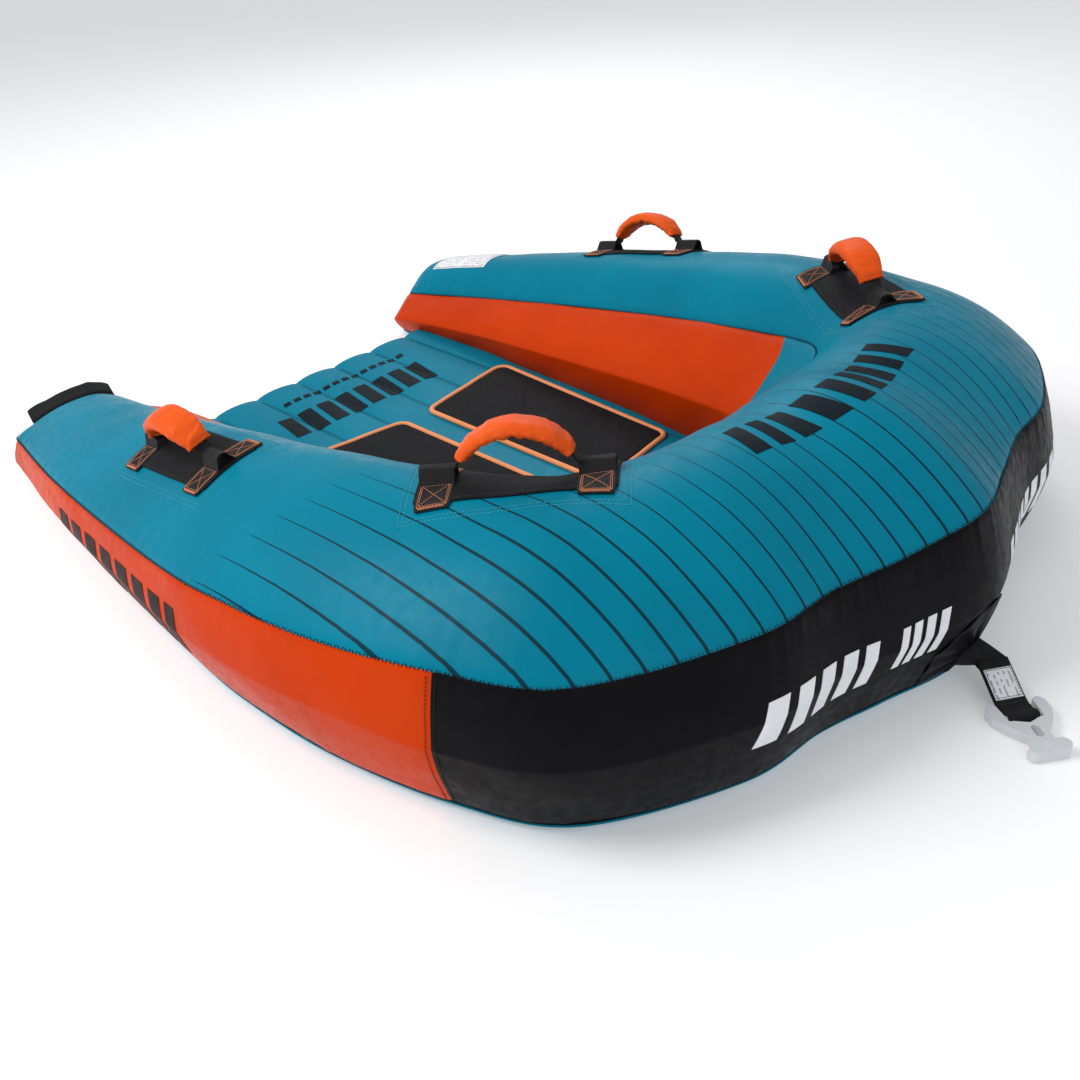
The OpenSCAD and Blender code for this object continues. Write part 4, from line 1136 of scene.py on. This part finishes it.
ring = strap_path()
ring = np.concatenate([ring, ring[:1]])
d = np.concatenate([[0], np.cumsum(np.linalg.norm(np.diff(ring, axis=0), axis=1))])
at = np.linspace(0, d[-1], 150, endpoint=False)
fine = np.stack([np.interp(at, d, ring[:, 0]), np.interp(at, d, ring[:, 1])], -1)
add("tow_strap_webbing", band_arrays(fine, STRAP_W, STRAP_T), WEBBING, body="strap", replaces=["tow_strap"],
    slot="black_webbing")


def along_strap(f):
    """The height of the strap's top face."""
    top = np.array([(0, 45.0), (8, 42.0), (20, 36.4), (34, 29.0), (48, 21.6), (58, 16.7), (66, 14.0),
                    (REACH, 13.4)])
    return np.interp(f, top[:, 0], top[:, 1])


f, w = np.meshgrid(np.linspace(14, 57, 16), np.linspace(-21.5, 21.5, 14), indexing="ij")
spot = ROOT + f[..., None] * AHEAD + w[..., None] * ACROSS
spot[..., 2] = along_strap(f) + 0.9
o = bevel(add("tow_label_cloth", slab_arrays(spot[:, ::-1], spot[:, ::-1] - [0, 0, 0.8]), LABEL, body="strap",
              replaces=["tow_label"], slot="label"), 0.25)
parts = []
for pts in ([(16, -19.5), (55, -19.5), (55, 19.5), (16, 19.5), (16, -19.5)],
            [(REACH - 26, -22), (REACH - 26, 22)], [(REACH - 12, 22), (REACH - 12, -22)]):
    q = dense(pts, 24)
    p = ROOT + q[:, :1] * AHEAD + q[:, 1:] * ACROSS
    p[:, 2] = along_strap(q[:, 0]) + (1.0 if pts[0][0] == 16 else 0.1)
    parts.append(stitch_arrays(p, upright(p), 4.5, 3.5, 1.0, 0.7))
add("tow_threads", joined(parts), GREY_THREAD, body="strap", slot="black_webbing")


def anchor_arrays():
    """The folded webbing that holds the strap's root to the bow, spread where it is sewn on."""
    rings = []
    for q in np.linspace(0, 1, 14):
        half = mix(33, 25, q**0.7)
        here = mix(np.array([0, -810.0]), ROOT[:2] - 3 * AHEAD[:2], q)
        way = mix(np.array([-1.0, 0.0]), ACROSS[:2], q)
        way = way / np.linalg.norm(way)
        thick = mix(15, 5.0, q)
        ring = []
        for b in np.linspace(0, 2 * math.pi, 28, endpoint=False):
            cx, sy = math.cos(b), math.sin(b)
            z = thick * squared(sy, 0.6)
            o = half * squared(cx, 0.5)
            z += 1.3 * (1 - q) * math.sin(o * 0.5)
            ring.append([*(here + way * o), mix(42, 40, q) + z])
        rings.append(ring)
    return tube_arrays(np.array(rings))


add("tow_anchor_webbing", anchor_arrays(), WEBBING, replaces=["tow_anchor"], slot="black_webbing")


def patch_surface(s, t):
    """The bow's cloth with folds that fan out from the strap's root."""
    away = np.hypot((s - BOW) * 110, (t - 0.55) * 55)
    fan = np.arctan2((t - 0.55) * 55, (s - BOW) * 110 + 1e-6)
    pull = 3.5 * np.exp(-away / 60) * np.sin(fan * 13)
    return wall(s, t, 1.6 + pull)


s, t = np.meshgrid(np.linspace(BOW - 0.62, BOW + 0.62, 60), np.linspace(0.06, 2.0, 44), indexing="ij")
side = np.abs(s - BOW) / 0.62
t2 = mix(0.06, mix(2.0, 1.15, side**1.6), (t - 0.06) / 1.94)
patch = patch_surface(s, t2)
cloth_piece("tow_patch_cloth", patch, BLACK, on=("bow_cloth",), replaces=["tow_patch"], slot="black_cloth")
rim = patch[2:-2, -3]
rim_out = wall(s[2:-2, -3], t2[2:-2, -3], 6) - wall(s[2:-2, -3], t2[2:-2, -3], 2)
add("tow_patch_threads", stitch_arrays(rim, rim_out, 5, 3.8, 0.9, 0.7), GREY_THREAD, slot="black_cloth")


# ---- CAD pieces that keep their shape ----


def paint(mat, *nodes, edge=0.0):
    """Gives CAD nodes their material, and a soft edge where asked."""
    for n in nodes:
        o = NODES[n]
        o.data.materials.clear()
        o.data.materials.append(mat)
        if edge:
            bevel(o, edge)


paint(FILM, "main_bladder", "floor_bladder")
paint(FOAM, "foam_front_starboard", "foam_front_port", "foam_rear_starboard", "foam_rear_port")
paint(PLASTIC, "valve_base", "valve_diaphragm", "valve_cap", "floor_valve_base", "floor_valve_cap", edge=0.5)
paint(METAL, "zip_slider", edge=0.4)
paint(WHITE, "quick_connector", edge=2.4)


# ---- Floor of the studio ----

FLOOR_HALF = 90.0
me = bpy.data.meshes.new("studio_floor")
corners = [(-FLOOR_HALF, -FLOOR_HALF), (FLOOR_HALF, -FLOOR_HALF), (FLOOR_HALF, FLOOR_HALF), (-FLOOR_HALF, FLOOR_HALF)]
me.from_pydata([(x, y, -0.0012) for x, y in corners], [], [(0, 1, 2, 3)])
o = bpy.data.objects.new("studio_floor", me)
scene.collection.objects.link(o)
pale = moulded("studio_floor", (0.86, 0.86, 0.87), (0.85, 0.85, 0.86), (0.7, 0.8), 40, 0.0, 0.0)
pale.node_tree.nodes["Principled BSDF"].inputs["Emission Color"].default_value = (1, 1, 1, 1)
pale.node_tree.nodes["Principled BSDF"].inputs["Emission Strength"].default_value = 0.2
me.materials.append(pale)
